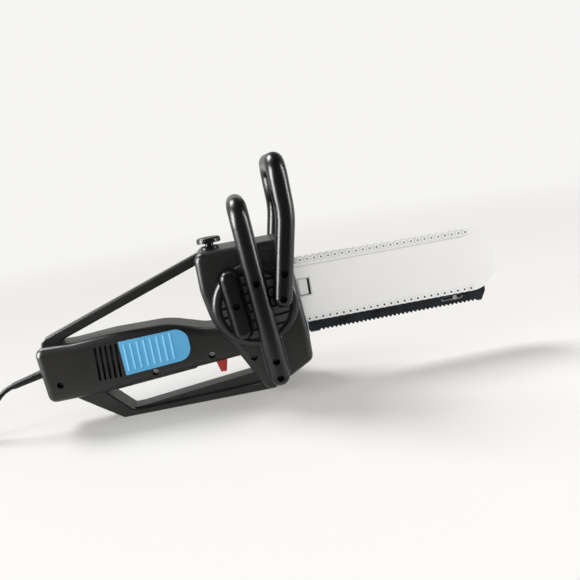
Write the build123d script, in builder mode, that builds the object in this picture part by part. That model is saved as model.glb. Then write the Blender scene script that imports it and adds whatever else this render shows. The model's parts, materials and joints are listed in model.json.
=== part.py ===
from build123d import *
import os
from math import asin, atan2, cos, degrees, dist, hypot, pi, radians, sin, tan

os.makedirs("parts", exist_ok=True)

# Electric carving knife in the form of a small chainsaw, in millimetres.
# X runs along the blades towards their tips, Z is up and Y = 0 is the seam between the housing halves.
# The origin is on the flat underside of the lower guard, midway along it.
# The right-hand side, at negative Y, carries the pull handle and the screw heads.

# Fits
wall = 2.5
overrun = 2.0
fit_gap = 0.05
slide_gap = 0.3
touch_gap = 0.1
RIGHT = -1
LEFT = 1
SIDES = (RIGHT, LEFT)

# Body of the housing, seen from the side
body_rear = 19.5
body_length = 101.0
body_height = 157.2
body_half_width = 33.0
body_edge_radius = 8.0
body_outline_shares = [
    (0.005, 0.996, 0.09),
    (0.916, 1.000, 0.10),
    (0.997, 0.395, 0.60),
    (1.000, 0.184, 0.09),
    (0.500, 0.012, 0.09),
    (0.243, 0.337, 0.60),
    (0.059, 0.548, 0.50),
    (0.002, 0.751, 0.50),
]

# Handle and rear block of the housing, one line from the cord to inside the body.
# The outline runs past the rear face, which then cuts it at a slant.
handle_rear = -154.0
handle_length = 214.0
handle_bottom = 31.0
handle_height = 64.0
handle_half_width = 22.0
handle_edge_radius = 8.0
rear_edge_radius = 8.0
handle_outline_shares = [
    (-0.120, 0.931, 0.20),
    (0.168, 0.894, 1.0),
    (0.364, 0.941, 1.6),
    (0.626, 0.933, 1.2),
    (0.804, 0.745, 0.6),
    (1.000, 0.745, 0.20),
    (1.000, 0.203, 0.20),
    (0.720, 0.139, 1.0),
    (0.235, 0.009, 1.0),
    (-0.120, 0.000, 0.20),
]
rear_face_shares = [(0.000, 0.914), (0.014, 0.008)]
heel_half_width = 15.0
heel_radius = 1.0
heel_outline_shares = [(0.327, 0.020), (0.720, 0.119), (0.735, 0.165), (0.700, 0.250), (0.327, 0.150)]

# Round boss on each side of the body, with its sunk louvred face
boss_x = 71.5
boss_z = 98.0
boss_radius = 43.0
boss_height = 9.0
boss_edge_radius = 6.0
recess_radius = 36.0
recess_depth = 2.0
louvre_count = 7
louvre_pitch = 9.3
louvre_width = 6.8
louvre_height = 1.7
louvre_margin = 3.0
louvre_lean = 4.0

# Front handle, an upright loop of round bar over both sides
loop_half_span = 52.0
handle_bar_radius = 9.7
handle_bend_radius = 17.0
handle_foot_x = 82.3
handle_foot_z = 26.4
handle_top_x = 69.9
handle_top_z = 195.3
leg_pad_width = 24.0
leg_pad_top_z = 60.0
leg_pad_edge = 2.0

# Hand guard, the tall loop in front of it
guard_bar_radius = 9.5
guard_bend_radius = 16.0
guard_knee_radius = 90.0
guard_foot_x = 98.2
guard_foot_z = 103.0
guard_knee_x = 113.9
guard_knee_z = 182.0
guard_top_x = 112.1
guard_top_z = 231.0

# Screws
shank_radius = 1.5
head_radius = 3.0
head_height = 2.2
head_bore_radius = 3.5
drive_radius = 1.1
drive_depth = 1.3
bore_depth = 8.0
boss_screw_bite = 10.0
post_radius = 4.0
handle_screw_heights = (122.6, 43.8, 26.4)
guard_screw_heights = (127.0, 103.0)
housing_screw_places = [(-135.0, 49.8), (-40.6, 44.6), (18.8, 51.0), (60.5, 43.7)]
housing_head_depth = 7.0
housing_screw_bite = 12.0
body_screw_share = 0.3

# Pull handle on the right-hand boss
pull_x = 53.0
pull_z = 103.5
pull_width = 17.0
pull_length = 68.0
pull_lean = 5.2
pull_height = 15.0
pull_corner_radius = 7.0
pull_edge_radius = 6.0
pull_rim = 2.2
pull_rim_height = 1.8

# Lower guard, a wide rim with a narrower web on it
guard_half_width = 13.0
guard_edge = 1.0
guard_corner = 2.0
guard_web_half_width = 9.0
guard_rear = -125.0
guard_length = 201.0
guard_height = 36.0
guard_rim_shares = [
    (0.000, 0.850),
    (0.209, 0.000),
    (1.000, 0.000),
    (1.000, 0.253),
    (0.348, 0.167),
    (0.262, 0.189),
    (0.124, 1.000),
    (0.030, 1.000),
]
guard_web_shares = [
    (0.262, 0.083),
    (0.970, 0.083),
    (0.970, 0.608),
    (0.879, 0.553),
    (0.314, 0.219),
    (0.268, 0.215),
]

# Upper strut, straight, with its rear end turned down into the rear block
strut_half_width = 7.0
strut_edge = 1.5
strut_rear = -149.4
strut_length = 179.4
strut_low_z = 80.0
strut_height = 77.0
strut_outline_shares = [
    (0.000, 0.000, 0.020),
    (0.000, 0.190, 0.110),
    (1.000, 1.000, 0.030),
    (1.000, 0.862, 0.030),
    (0.117, 0.146, 0.040),
    (0.117, 0.000, 0.020),
]

# Grip inserts
insert_depth = 1.2
insert_proud = 0.6
insert_gap = 0.15
insert_x = -70.5
insert_z = 47.0
insert_length = 69.5
insert_height = 37.5
insert_outline_shares = [(0.0, 0.96, 0.03), (1.0, 1.02, 0.36), (1.0, 0.14, 0.36), (0.015, 0.0, 0.03)]
insert_rib_count = 8
insert_rib_x = -65.6
insert_rib_pitch = 6.65
insert_rib_width = 1.6
insert_rib_height = 0.9
insert_rib_share = 0.74
insert_rib_rise_share = 0.085

# Cooling slots behind the inserts
vent_count = 5
vent_pitch = 5.2
vent_width = 2.2
vent_length = 35.0
vent_x = -84.4
vent_z = 64.0
vent_lean = 3.0

# Motor, its shaft along X
shaft_z = 68.0
shaft_radius = 2.5
shaft_rear_x = -91.0
shaft_front_x = 84.5
bush_radius = 3.3
motor_rear_x = -72.0
motor_length = 50.0
motor_radius = 17.0
motor_wall = 1.5
end_plate = 3.0
magnet_thickness = 3.5
magnet_angle = 130.0
core_radius = 11.3
core_length = 24.0
core_slots = 7
core_slot_width = 2.4
core_slot_depth = 6.0
commutator_radius = 5.0
commutator_length = 8.0
brush_length = 5.0
brush_width = 4.0
fan_x = -87.0
fan_radius = 15.0
fan_width = 8.0
fan_hub_radius = 5.5
fan_plate = 1.5
fan_blades = 9
fan_blade_thickness = 1.2
shroud_rear_x = -99.0
shroud_gap = 0.7
motor_rib_width = 3.0
motor_rib_offset = 6.0

# Worm and wheel
module = 1.0
wheel_teeth = 28
wheel_x = 62.0
wheel_half_width = 3.0
worm_pitch_radius = 4.4
worm_turns = 5
thread_share = 0.30
tooth_tip_share = 0.22
tooth_root_share = 0.52
addendum_share = 0.9
dedendum_share = 1.25

# Cams and blade drivers
stroke = 3.0
cam_radius = 7.0
cam_width = 3.9
driver_inner = 4.2
driver_width = 3.0
driver_frame = 4.0
driver_neck_width = 7.9
tongue_low_z = 51.4
tongue_height = 10.4
driver_front_x = 122.4
driver_foot_x = 110.0
flange_width = 3.6
flange_low_z = 46.5
flange_half_width = 7.4
axle_radius = 2.5
axle_half_length = 21.0
axle_post_radius = 5.5
guide_rear_x = 86.5
guide_front_x = 106.0
guide_margin = 4.0
guide_rib_width = 3.0
bearing_rear_x = 73.0
bearing_margin = 3.5

# Blades
blade_thickness = 0.9
blade_gap = 0.15
blade_root_x = 124.5
blade_tip_x = 319.0
blade_edge_z = 49.4
blade_top_z = 72.0
blade_heel = 10.0
tooth_pitch = 4.6
tooth_depth = 2.5
tooth_hook_share = 0.35
rivet_x = 284.5
rivet_z = 58.0
rivet_radius = 1.3
rivet_head_radius = 2.4
rivet_head_height = 0.7
rivet_slot_rear_x = 270.5
rivet_slot_front_x = 292.5

# Guide bar
bar_half_width = 3.5
bar_root_x = 119.6
bar_tip_x = 333.3
bar_low_z = 61.9
bar_top_z = 131.5
bar_taper = 2.6
bar_low_nose = 28.0
bar_top_nose = 32.0
bar_edge = 0.8
bar_slot_gap = 0.3
bar_slot_front_x = 323.4
tenon_length = 26.0
tenon_low_z = 78.0
tenon_top_z = 126.0
window_x = 125.3
window_z = 99.7
window_length = 11.4
window_height = 17.2
window_depth = 1.4
window_rim = 1.2
window_rim_height = 0.6
window_sill_z = 86.6
window_sill_height = 0.8
window_gap_width = 2.2
window_gap_depth = 3.0
bead_count = 25
bead_pitch = 7.4
bead_rear_x = 125.2
bead_radius = 3.2
bead_height = 0.5
bead_hole_radius = 0.9
bead_hole_depth = 1.1
bead_low_z = 65.15
bead_high_z = 128.6
bead_fall = 2.3
bar_pin_radius = 2.5
bar_pin_x = 101.0
bar_pin_heights = (88.0, 116.0)
bar_pin_half_length = 14.0
bar_step_depth = 0.5
bar_step_width = 1.0
bar_step_z = 122.0

# Trigger
pivot_x = 33.0
pivot_z = 52.0
pin_radius = 1.5
pin_half_length = 11.0
pivot_post_radius = 3.6
trigger_half_width = 4.0
trigger_hub_radius = 4.2
trigger_arm_length = 12.0
trigger_arm_depth = 3.4
trigger_lever_height = 8.4
trigger_lever_width = 3.0
trigger_tip_x = 23.5
trigger_tip_z = 26.0
trigger_tip_width = 6.0
trigger_root_x = 19.6
trigger_root_z = 41.5
trigger_root_width = 13.4
trigger_slot_rear_x = 14.0
trigger_slot_length = 21.5
trigger_slot_gap = 0.8
spring_radius = 2.2
spring_wire = 0.35
spring_turns = 3
spring_lift_share = 0.2
spring_x = 42.5

# Switch and lock button
switch_rear_x = 36.9
switch_length = 12.8
switch_half_width = 2.9
switch_height = 6.5
switch_low_z = 55.2
plunger_length = 0.7
plunger_radius = 0.9
terminal_length = 3.2
terminal_width = 0.8
button_x = 36.3
cap_radius = 12.2
cap_height = 5.2
cap_edge_radius = 2.4
neck_radius = 4.3
button_travel = 3.5
collar_radius = 9.2
collar_height = 2.6
collar_edge = 0.8
retainer_radius = 5.6
retainer_height = 1.2
button_spring_radius = 3.1
button_spring_wire = 0.6
button_spring_length = 13.0
button_spring_turns = 7
seat_radius = 6.0
seat_height = 3.0

# Rectifier board and cord entry
board_rear_x = -131.0
board_length = 30.0
board_half_width = 17.0
board_thickness = 1.6
board_z = 69.0
ledge_depth = 3.0
ledge_height = 2.2
bridge_length = 9.0
bridge_height = 7.0
capacitor_radius = 4.0
capacitor_length = 14.0
clamp_rear_x = -146.0
clamp_length = 8.0
clamp_half_width = 9.0
clamp_height = 12.0
entry_z = 60.2
boot_length = 35.0
boot_root_radius = 4.6
boot_end_radius = 3.5
boot_flange_radius = 7.0
boot_flange_width = 2.0
wire_radius = 0.9
wire_y = 9.5
wire_channel = 1.6
wire_bend_radius = 3.0
wire_points = [
    (-104.0, 9.5, 69.0),
    (-104.0, 9.5, 50.9),
    (-12.0, 9.5, 50.9),
    (10.0, 9.5, 44.9),
    (24.0, 9.5, 45.4),
    (54.0, 9.5, 49.8),
    (54.4, 2.4, 57.0),
]

# Mains cord: free stretch, coil and plug. The free stretch follows points chosen by hand.
cord_radius = 2.7
cord_points = [
    (-188.0, 0.0, 52.0),
    (-198.2, 0.0, 49.6),
    (-213.0, 0.0, 35.0),
    (-226.0, 0.0, 19.5),
    (-238.5, 0.0, 2.75),
    (-257.0, 0.0, 2.75),
]
run_share = 0.45
coil_outer_radius = 41.5
coil_pitch = 6.2
coil_layer = 6.0
coil_half_turns = 8
coil_lead_out = 27.0
plug_length = 32.0
plug_width = 24.0
plug_thickness = 16.6
plug_edge = 3.0
plug_neck = 8.0
plug_neck_radius = 4.2
prong_spacing = 12.7
prong_width = 6.35
prong_thickness = 1.5
prong_length = 17.0

# Places worked out from the sizes above
wheel_pitch_radius = module * wheel_teeth / 2
wheel_z = shaft_z + worm_pitch_radius + wheel_pitch_radius
worm_pitch = pi * module
worm_rear_x = wheel_x - worm_pitch * worm_turns / 2
boss_face = body_half_width + boss_height
recess_face = boss_face - recess_depth
driver_outer = driver_inner + driver_width
tongue_top_z = tongue_low_z + tongue_height
loop_outer = loop_half_span + handle_bar_radius
leg_lean = degrees(atan2(handle_foot_x - handle_top_x, handle_top_z - handle_foot_z))


def export(part, name):
    part.label = name
    export_step(part, f"parts/{name}.step")


def side_face(corners, radii, inset=0):
    """Face on the seam plane with rounded corners, drawn in by an even inset."""
    with BuildSketch(Plane.XZ) as face:
        with BuildLine():
            FilletPolyline(*corners, radius=radii, close=True)
        make_face()
        if inset:
            offset(amount=-inset, mode=Mode.REPLACE)
    return face.sketch


def placed(shares, low_x, low_z, length, height):
    return [(low_x + share[0] * length, low_z + share[1] * height) for share in shares]


def body_face(inset=0):
    corners = placed(body_outline_shares, body_rear, 0, body_length, body_height)
    radii = [share[2] * body_length for share in body_outline_shares]
    return side_face(corners, radii, inset)


def handle_face(inset=0):
    corners = placed(handle_outline_shares, handle_rear, handle_bottom, handle_length, handle_height)
    radii = [share[2] * handle_height for share in handle_outline_shares]
    return side_face(corners, radii, inset)


def block(low, high, mode=Mode.ADD):
    """Box between two corners."""
    middle = tuple((a + b) / 2 for a, b in zip(low, high))
    with Locations(middle):
        Box(*(b - a for a, b in zip(low, high)), mode=mode)


def cross_rod(x, z, radius, y_from, y_to, mode=Mode.ADD):
    """Round bar or bore across the object."""
    with Locations(Location((x, (y_from + y_to) / 2, z), (90, 0, 0))):
        Cylinder(radius, abs(y_to - y_from), mode=mode)


def long_rod(radius, x_from, x_to, mode=Mode.ADD, z=shaft_z):
    """Round bar or bore along the shaft."""
    with Locations(Location(((x_from + x_to) / 2, 0, z), (0, 90, 0))):
        Cylinder(radius, x_to - x_from, mode=mode)


def upright_rod(x, radius, low_z, high_z, mode=Mode.ADD):
    with Locations((x, 0, (low_z + high_z) / 2)):
        Cylinder(radius, high_z - low_z, mode=mode)


def leg_x(z):
    """Centre of the front handle's leg at a height."""
    share = (z - handle_foot_z) / (handle_top_z - handle_foot_z)
    return handle_foot_x + share * (handle_top_x - handle_foot_x)


def guard_leg_x(z):
    """Centre of the hand guard's lower leg at a height."""
    share = (z - guard_foot_z) / (guard_knee_z - guard_foot_z)
    return guard_foot_x + share * (guard_knee_x - guard_foot_x)


def loop_screws():
    """Places of the screws that hold both loops, as X and Z."""
    places = [(leg_x(z), z) for z in handle_screw_heights]
    return places + [(guard_leg_x(z), z) for z in guard_screw_heights]


def leg_pad_place():
    low = (leg_x(handle_foot_z), handle_foot_z)
    high = (leg_x(leg_pad_top_z), leg_pad_top_z)
    return ((low[0] + high[0]) / 2, (low[1] + high[1]) / 2), hypot(high[0] - low[0], high[1] - low[1])


def rear_plane():
    """Plane of the slanted rear face, its normal towards the handle."""
    top, foot = placed(rear_face_shares, handle_rear, handle_bottom, handle_length, handle_height)
    across = (top[1] - foot[1], 0, foot[0] - top[0])
    return Plane(origin=(top[0], 0, top[1]), x_dir=(0, 1, 0), z_dir=across)


def handle_block(inset=0):
    """Handle and rear block with rounded edges, drawn in by an even inset."""
    with BuildPart() as solid:
        extrude(handle_face(inset), amount=handle_half_width - inset, both=True)
        fillet(solid.faces().filter_by(Axis.Y).edges(), handle_edge_radius - inset)
        split(bisect_by=rear_plane().offset(inset), keep=Keep.TOP)
        fillet(solid.faces().sort_by(Axis.X)[0].edges(), rear_edge_radius - inset)
    return solid.part


def body_block():
    with BuildPart() as solid:
        extrude(body_face(), amount=body_half_width, both=True)
        fillet(solid.faces().filter_by(Axis.Y).edges(), body_edge_radius)
    return solid.part


def boss_block():
    with BuildPart() as solid:
        cross_rod(boss_x, boss_z, boss_radius, -boss_face, boss_face)
        fillet(solid.edges().filter_by(GeomType.CIRCLE), boss_edge_radius)
    return solid.part


def leg_pads():
    """Raised pads that the lower ends of the front handle are screwed to."""
    middle, span = leg_pad_place()
    with BuildPart() as solid:
        with BuildSketch(Plane.XZ):
            with Locations(middle):
                SlotCenterToCenter(span, leg_pad_width, rotation=90 + leg_lean)
        extrude(amount=boss_face, both=True)
        fillet(solid.faces().filter_by(Axis.Y).edges(), leg_pad_edge)
    return solid.part


def heel_block():
    corners = placed(heel_outline_shares, handle_rear, handle_bottom, handle_length, handle_height)
    with BuildPart() as solid:
        extrude(side_face(corners, heel_radius), amount=heel_half_width, both=True)
    return solid.part


def housing_envelope():
    """The closed outer form of both housing halves together."""
    with BuildPart() as solid:
        add(body_block())
        add(handle_block())
        add(heel_block())
        add(boss_block())
        add(leg_pads())
    return solid.part


def clear_of_posts():
    """Takes the screw posts, pin posts and axle posts out of the hollow, so that they stay as material."""
    for x, z in housing_screw_places:
        cross_rod(x, z, post_radius, -body_half_width, body_half_width, Mode.SUBTRACT)
    for side in SIDES:
        inner = side * (trigger_half_width + slide_gap)
        cross_rod(pivot_x, pivot_z, pivot_post_radius, inner, side * handle_half_width, Mode.SUBTRACT)
        inner = side * (driver_inner + cam_width - slide_gap)
        cross_rod(wheel_x, wheel_z, axle_post_radius, inner, side * body_half_width, Mode.SUBTRACT)
        for z in bar_pin_heights:
            inner = side * (bar_half_width + touch_gap)
            cross_rod(bar_pin_x, z, post_radius, inner, side * body_half_width, Mode.SUBTRACT)


def clear_of_ribs():
    """Takes the ribs and ledges out of the hollow, so that they stay as material."""
    for x in motor_rib_places():
        low = (x - motor_rib_width / 2, -handle_half_width, handle_bottom)
        block(low, (x + motor_rib_width / 2, handle_half_width, handle_bottom + handle_height), Mode.SUBTRACT)
    for side in SIDES:
        inner = guide_half_width() + touch_gap
        for x in (guide_rear_x + guide_rib_width, guide_front_x - guide_rib_width):
            middle = (x, side * (inner + body_half_width) / 2, (tongue_low_z + tongue_top_z) / 2)
            with Locations(middle):
                Box(guide_rib_width, body_half_width - inner, tongue_height, mode=Mode.SUBTRACT)
        inner = board_half_width - ledge_depth
        middle_z = board_z - touch_gap - ledge_height / 2
        with Locations((board_rear_x + board_length / 2, side * (inner + handle_half_width) / 2, middle_z)):
            Box(board_length, handle_half_width - inner, ledge_height, mode=Mode.SUBTRACT)
    clamp_low_z = entry_z - clamp_height / 2
    low = (clamp_rear_x, -clamp_half_width, handle_bottom)
    block(low, (clamp_rear_x + clamp_length, clamp_half_width, clamp_low_z - touch_gap), Mode.SUBTRACT)
    top = shelf_top_z() - touch_gap
    low = (button_x - seat_radius, -body_half_width, top - seat_height)
    block(low, (button_x + seat_radius, body_half_width, top), Mode.SUBTRACT)
    low_z = pivot_z + trigger_arm_depth / 2 + 2 * slide_gap
    high = (switch_rear_x + switch_length, handle_half_width, switch_low_z - touch_gap)
    block((switch_rear_x, -handle_half_width, low_z), high, Mode.SUBTRACT)
    for side in SIDES:
        y = side * (switch_half_width + touch_gap)
        low = (switch_rear_x, min(y, side * handle_half_width), low_z)
        high = (switch_rear_x + switch_length, max(y, side * handle_half_width), switch_low_z + switch_height)
        block(low, high, Mode.SUBTRACT)


def shelf_top_z():
    """Height of the shelf under the button's spring."""
    return button_stem_z() - button_spring_length


def guide_half_width():
    return driver_outer + slide_gap + guide_margin


def housing_hollow():
    """The space inside the housing, without the posts and ribs that stand in it."""
    with BuildPart() as inner_body:
        extrude(body_face(wall), amount=body_half_width - wall, both=True)
        fillet(inner_body.faces().filter_by(Axis.Y).edges(), body_edge_radius - wall)
    with BuildPart() as hollow:
        add(inner_body.part)
        add(handle_block(wall))
        clear_of_posts()
        clear_of_ribs()
    return hollow.part


def cut_shared_bores():
    """Bores and openings that both housing halves share."""
    long_rod(motor_radius + touch_gap, motor_rear_x, motor_rear_x + motor_length, Mode.SUBTRACT)
    cross_rod(pivot_x, pivot_z, pin_radius + fit_gap, -pin_half_length, pin_half_length, Mode.SUBTRACT)
    cross_rod(wheel_x, wheel_z, axle_radius + fit_gap, -axle_half_length, axle_half_length, Mode.SUBTRACT)
    for z in bar_pin_heights:
        reach = bar_pin_half_length
        cross_rod(bar_pin_x, z, bar_pin_radius + fit_gap, -reach, reach, Mode.SUBTRACT)
    # Opening for the trigger under the handle
    width = trigger_half_width + trigger_slot_gap
    low = (trigger_slot_rear_x, -width, handle_bottom)
    block(low, (trigger_slot_rear_x + trigger_slot_length, width, pivot_z - trigger_hub_radius), Mode.SUBTRACT)
    # Openings for the guide bar and for the driver flanges in the front
    front = body_rear + body_length + overrun
    width = bar_half_width + touch_gap
    low = (bar_pin_x, -width, bar_low_z - touch_gap)
    block(low, (front, width, bar_top_z + touch_gap), Mode.SUBTRACT)
    width = flange_half_width + slide_gap
    low = (driver_foot_x, -width, flange_low_z - slide_gap)
    block(low, (front, width, tongue_top_z + slide_gap), Mode.SUBTRACT)
    # Bore for the cord boot and for the button's stem
    long_rod(boot_root_radius + touch_gap, handle_rear - overrun, clamp_rear_x, Mode.SUBTRACT, entry_z)
    upright_rod(button_x, neck_radius + slide_gap, body_height - 2 * seat_radius, body_height, Mode.SUBTRACT)
    # Channels for the wires through the motor ribs
    for x in motor_rib_places():
        for side in SIDES:
            with Locations((x, side * wire_y, wire_run_z(x))):
                Box(motor_rib_width + overrun, 2 * wire_channel, 2 * wire_channel, mode=Mode.SUBTRACT)


def wire_run_z(x):
    """Height of the wires where they run beneath the motor."""
    rear, front = wire_points[1], wire_points[2]
    return rear[2] + (x - rear[0]) / (front[0] - rear[0]) * (front[2] - rear[2])


def motor_rib_places():
    return motor_rear_x + motor_rib_offset, motor_rear_x + motor_length - motor_rib_offset


def vent_slots(side):
    """The row of cooling slots through one side of the handle."""
    with BuildPart() as slots:
        with BuildSketch(Plane.XZ):
            with Locations((vent_x, vent_z)):
                with GridLocations(vent_pitch, vent_length, vent_count, 1):
                    SlotOverall(vent_length, vent_width, rotation=90 - vent_lean)
        extrude(amount=-side * (handle_half_width + overrun))
    return slots.part


def insert_face(gap=0):
    corners = placed(insert_outline_shares, insert_x, insert_z, insert_length, insert_height)
    radii = [share[2] * insert_height for share in insert_outline_shares]
    return side_face(corners, radii, gap)


def housing_half(side):
    """One half of the housing, with its own screw holes."""
    with BuildPart() as half:
        add(envelope)
        split(bisect_by=Plane.XZ, keep=Keep.TOP if side == RIGHT else Keep.BOTTOM)
        add(hollow, mode=Mode.SUBTRACT)
        cut_shared_bores()
        add(vent_slots(side), mode=Mode.SUBTRACT)
        with Locations((0, side * (handle_half_width - insert_depth), 0)):
            add(insert_pocket(side), mode=Mode.SUBTRACT)
        cross_rod(boss_x, boss_z, recess_radius, side * recess_face, side * (boss_face + overrun), Mode.SUBTRACT)
        add(louvres(side))
        for x, z in loop_screws():
            bite = side * (boss_face - boss_screw_bite)
            cross_rod(x, z, shank_radius + fit_gap, bite, side * (boss_face + overrun), Mode.SUBTRACT)
        for x, z in housing_screw_places:
            cut_housing_screw(x, z, side)
        if side == RIGHT:
            cross_rod(pull_x, pull_z, post_radius, -recess_face, -boss_face)
            bite = boss_face - boss_screw_bite
            cross_rod(pull_x, pull_z, shank_radius + fit_gap, -bite, -boss_face - overrun, Mode.SUBTRACT)
    return half.part


def insert_pocket(side):
    """The pocket for a grip insert, standing on the seam plane."""
    with BuildPart() as pocket:
        extrude(insert_face(), amount=-side * (insert_depth + overrun))
    return pocket.part


def louvres(side):
    """Parallel slats on the sunk face of a boss, with narrow gaps between them."""
    with BuildPart() as ribs:
        with BuildSketch(Plane.XZ.offset(-side * recess_face)):
            with Locations(Location((boss_x, boss_z), louvre_lean)):
                with GridLocations(0, louvre_pitch, 1, louvre_count):
                    Rectangle(2 * recess_radius, louvre_width)
            with Locations((boss_x, boss_z)):
                Circle(recess_radius - louvre_margin, mode=Mode.INTERSECT)
        extrude(amount=-side * louvre_height)
    return ribs.part


def half_width_at(x):
    """Half width of the housing where a housing screw stands."""
    return body_half_width if x > body_rear + body_length * body_screw_share else handle_half_width


def cut_housing_screw(x, z, side):
    outer = half_width_at(x)
    seat = outer - housing_head_depth
    if side == RIGHT:
        cross_rod(x, z, head_bore_radius, -seat, -outer - overrun, Mode.SUBTRACT)
        cross_rod(x, z, shank_radius + fit_gap, 0, -seat, Mode.SUBTRACT)
    else:
        cross_rod(x, z, shank_radius + fit_gap, 0, housing_screw_bite, Mode.SUBTRACT)


def screw(length):
    """Screw along Y, its head's underside at Y = 0 and its shank towards positive Y."""
    with BuildPart() as one:
        cross_rod(0, 0, shank_radius, 0, length)
        cross_rod(0, 0, head_radius, 0, -head_height)
        with BuildSketch(Plane.XZ.offset(head_height)):
            Rectangle(2 * drive_radius, drive_radius / 2)
            Rectangle(drive_radius / 2, 2 * drive_radius)
        extrude(amount=-drive_depth, mode=Mode.SUBTRACT)
    return one.part


def housing_screws():
    with BuildPart() as group:
        for x, z in housing_screw_places:
            seat = half_width_at(x) - housing_head_depth
            with Locations((x, -seat, z)):
                add(screw(seat + housing_screw_bite - touch_gap))
    return group.part


def loop_screw_group():
    """Screws through both loops into the bosses and pads, on both sides."""
    seat = loop_outer - bore_depth - head_height
    length = seat - boss_face + boss_screw_bite - touch_gap
    with BuildPart() as group:
        for x, z in loop_screws():
            with Locations((x, -seat, z)):
                add(screw(length))
            with Locations(Location((x, seat, z), (0, 0, 180))):
                add(screw(length))
    return group.part


def cut_loop_screws(places):
    seat = loop_outer - bore_depth - head_height
    for x, z in places:
        for side in SIDES:
            cross_rod(x, z, head_bore_radius, side * seat, side * (loop_outer + overrun), Mode.SUBTRACT)
            inner = loop_half_span - handle_bar_radius - overrun
            cross_rod(x, z, shank_radius + slide_gap, side * inner, side * seat, Mode.SUBTRACT)


def loop_bar(points, bend_radii, radius):
    """Round bar along a line of points, with a dome on each end."""
    with BuildPart() as bar:
        with BuildLine() as path:
            FilletPolyline(*points, radius=bend_radii)
        with BuildSketch(path.line ^ 0):
            Circle(radius)
        sweep()
        with Locations(points[0], points[-1]):
            Sphere(radius)
    return bar.part


def front_handle():
    foot = (handle_foot_x, handle_foot_z)
    top = (handle_top_x, handle_top_z)
    reach = loop_half_span
    points = [
        (foot[0], -reach, foot[1]),
        (top[0], -reach, top[1]),
        (top[0], reach, top[1]),
        (foot[0], reach, foot[1]),
    ]
    with BuildPart() as handle:
        add(loop_bar(points, [handle_bend_radius] * 2, handle_bar_radius))
        cut_loop_screws([(leg_x(z), z) for z in handle_screw_heights])
    return handle.part


def hand_guard():
    reach = loop_half_span
    half = [
        (guard_foot_x, guard_foot_z),
        (guard_knee_x, guard_knee_z),
        (guard_top_x, guard_top_z),
    ]
    points = [(x, -reach, z) for x, z in half] + [(x, reach, z) for x, z in reversed(half)]
    radii = [guard_knee_radius, guard_bend_radius, guard_bend_radius, guard_knee_radius]
    with BuildPart() as guard:
        add(loop_bar(points, radii, guard_bar_radius))
        cut_loop_screws([(guard_leg_x(z), z) for z in guard_screw_heights])
    return guard.part


def pull_handle():
    base = boss_face + touch_gap
    with BuildPart() as handle:
        with BuildSketch(Plane.XZ.offset(base)):
            with Locations(Location((pull_x, pull_z), pull_lean)):
                RectangleRounded(pull_width, pull_length, pull_corner_radius)
        extrude(amount=pull_height)
        fillet(handle.faces().sort_by(Axis.Y)[0].edges(), pull_edge_radius)
        with BuildSketch(Plane.XZ.offset(base)):
            with Locations(Location((pull_x, pull_z), pull_lean)):
                width = pull_width + 2 * pull_rim
                RectangleRounded(width, pull_length + 2 * pull_rim, pull_corner_radius + pull_rim)
        extrude(amount=pull_rim_height)
        cross_rod(pull_x, pull_z, head_bore_radius, -pull_seat(), -base - pull_height, Mode.SUBTRACT)
        cross_rod(pull_x, pull_z, shank_radius + slide_gap, -base, -pull_seat(), Mode.SUBTRACT)
    return handle.part


def pull_seat():
    return boss_face + pull_height - bore_depth


def pull_screw():
    with BuildPart() as one:
        with Locations((pull_x, -pull_seat(), pull_z)):
            add(screw(pull_seat() - boss_face + boss_screw_bite - touch_gap))
    return one.part


def guard_face(shares):
    return side_face(placed(shares, guard_rear, 0, guard_length, guard_height), guard_corner)


def lower_guard():
    """Closed finger guard under the handle, with the flat face that the knife rests on."""
    with BuildPart() as guard:
        extrude(guard_face(guard_rim_shares), amount=guard_half_width, both=True)
        chamfer(guard.faces().filter_by(Axis.Y).edges(), guard_edge)
        extrude(guard_face(guard_web_shares), amount=guard_web_half_width, both=True)
        add(envelope, mode=Mode.SUBTRACT)
    return largest(guard)


def largest(builder):
    return builder.solids().sort_by(SortBy.VOLUME)[-1]


def top_strut():
    """Slim strut from the rear block up to the rear of the body."""
    corners = placed(strut_outline_shares, strut_rear, strut_low_z, strut_length, strut_height)
    radii = [share[2] * strut_height for share in strut_outline_shares]
    with BuildPart() as strut:
        extrude(side_face(corners, radii), amount=strut_half_width, both=True)
        chamfer(strut.faces().filter_by(Axis.Y).edges(), strut_edge)
        add(envelope, mode=Mode.SUBTRACT)
    return largest(strut)


def insert_rib_places():
    """Centres of the upright ribs, as X and Z. The row rises with the insert towards the body."""
    places = []
    for number in range(insert_rib_count):
        rise = number / (insert_rib_count - 1) * insert_rib_rise_share
        z = insert_z + insert_height / 2 + rise * insert_height
        places.append((insert_rib_x + number * insert_rib_pitch, z))
    return places


def grip_insert(side):
    with BuildPart() as insert:
        extrude(insert_face(insert_gap), amount=-side * (insert_depth + insert_proud - touch_gap))
        with BuildSketch(Plane.XZ.offset(-side * (insert_depth + insert_proud - touch_gap))):
            with Locations(*insert_rib_places()):
                SlotOverall(insert_rib_share * insert_height, insert_rib_width, rotation=90)
        extrude(amount=-side * insert_rib_height)
    with BuildPart() as moved:
        with Locations((0, side * (handle_half_width - insert_depth + touch_gap), 0)):
            add(insert.part)
    return moved.part


def ring_sector(outer, inner, angle, x_from, x_to, turn):
    """Curved plate round the shaft, its middle at an angle about the shaft."""
    with BuildPart() as sector:
        with BuildSketch(Plane(origin=(x_from, 0, shaft_z), x_dir=(0, 1, 0), z_dir=(1, 0, 0))):
            with BuildLine():
                first = CenterArc((0, 0), outer, turn - angle / 2, angle)
                second = CenterArc((0, 0), inner, turn - angle / 2, angle)
                Line(first @ 0, second @ 0)
                Line(first @ 1, second @ 1)
            make_face()
        extrude(amount=x_to - x_from)
    return sector.part


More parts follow.
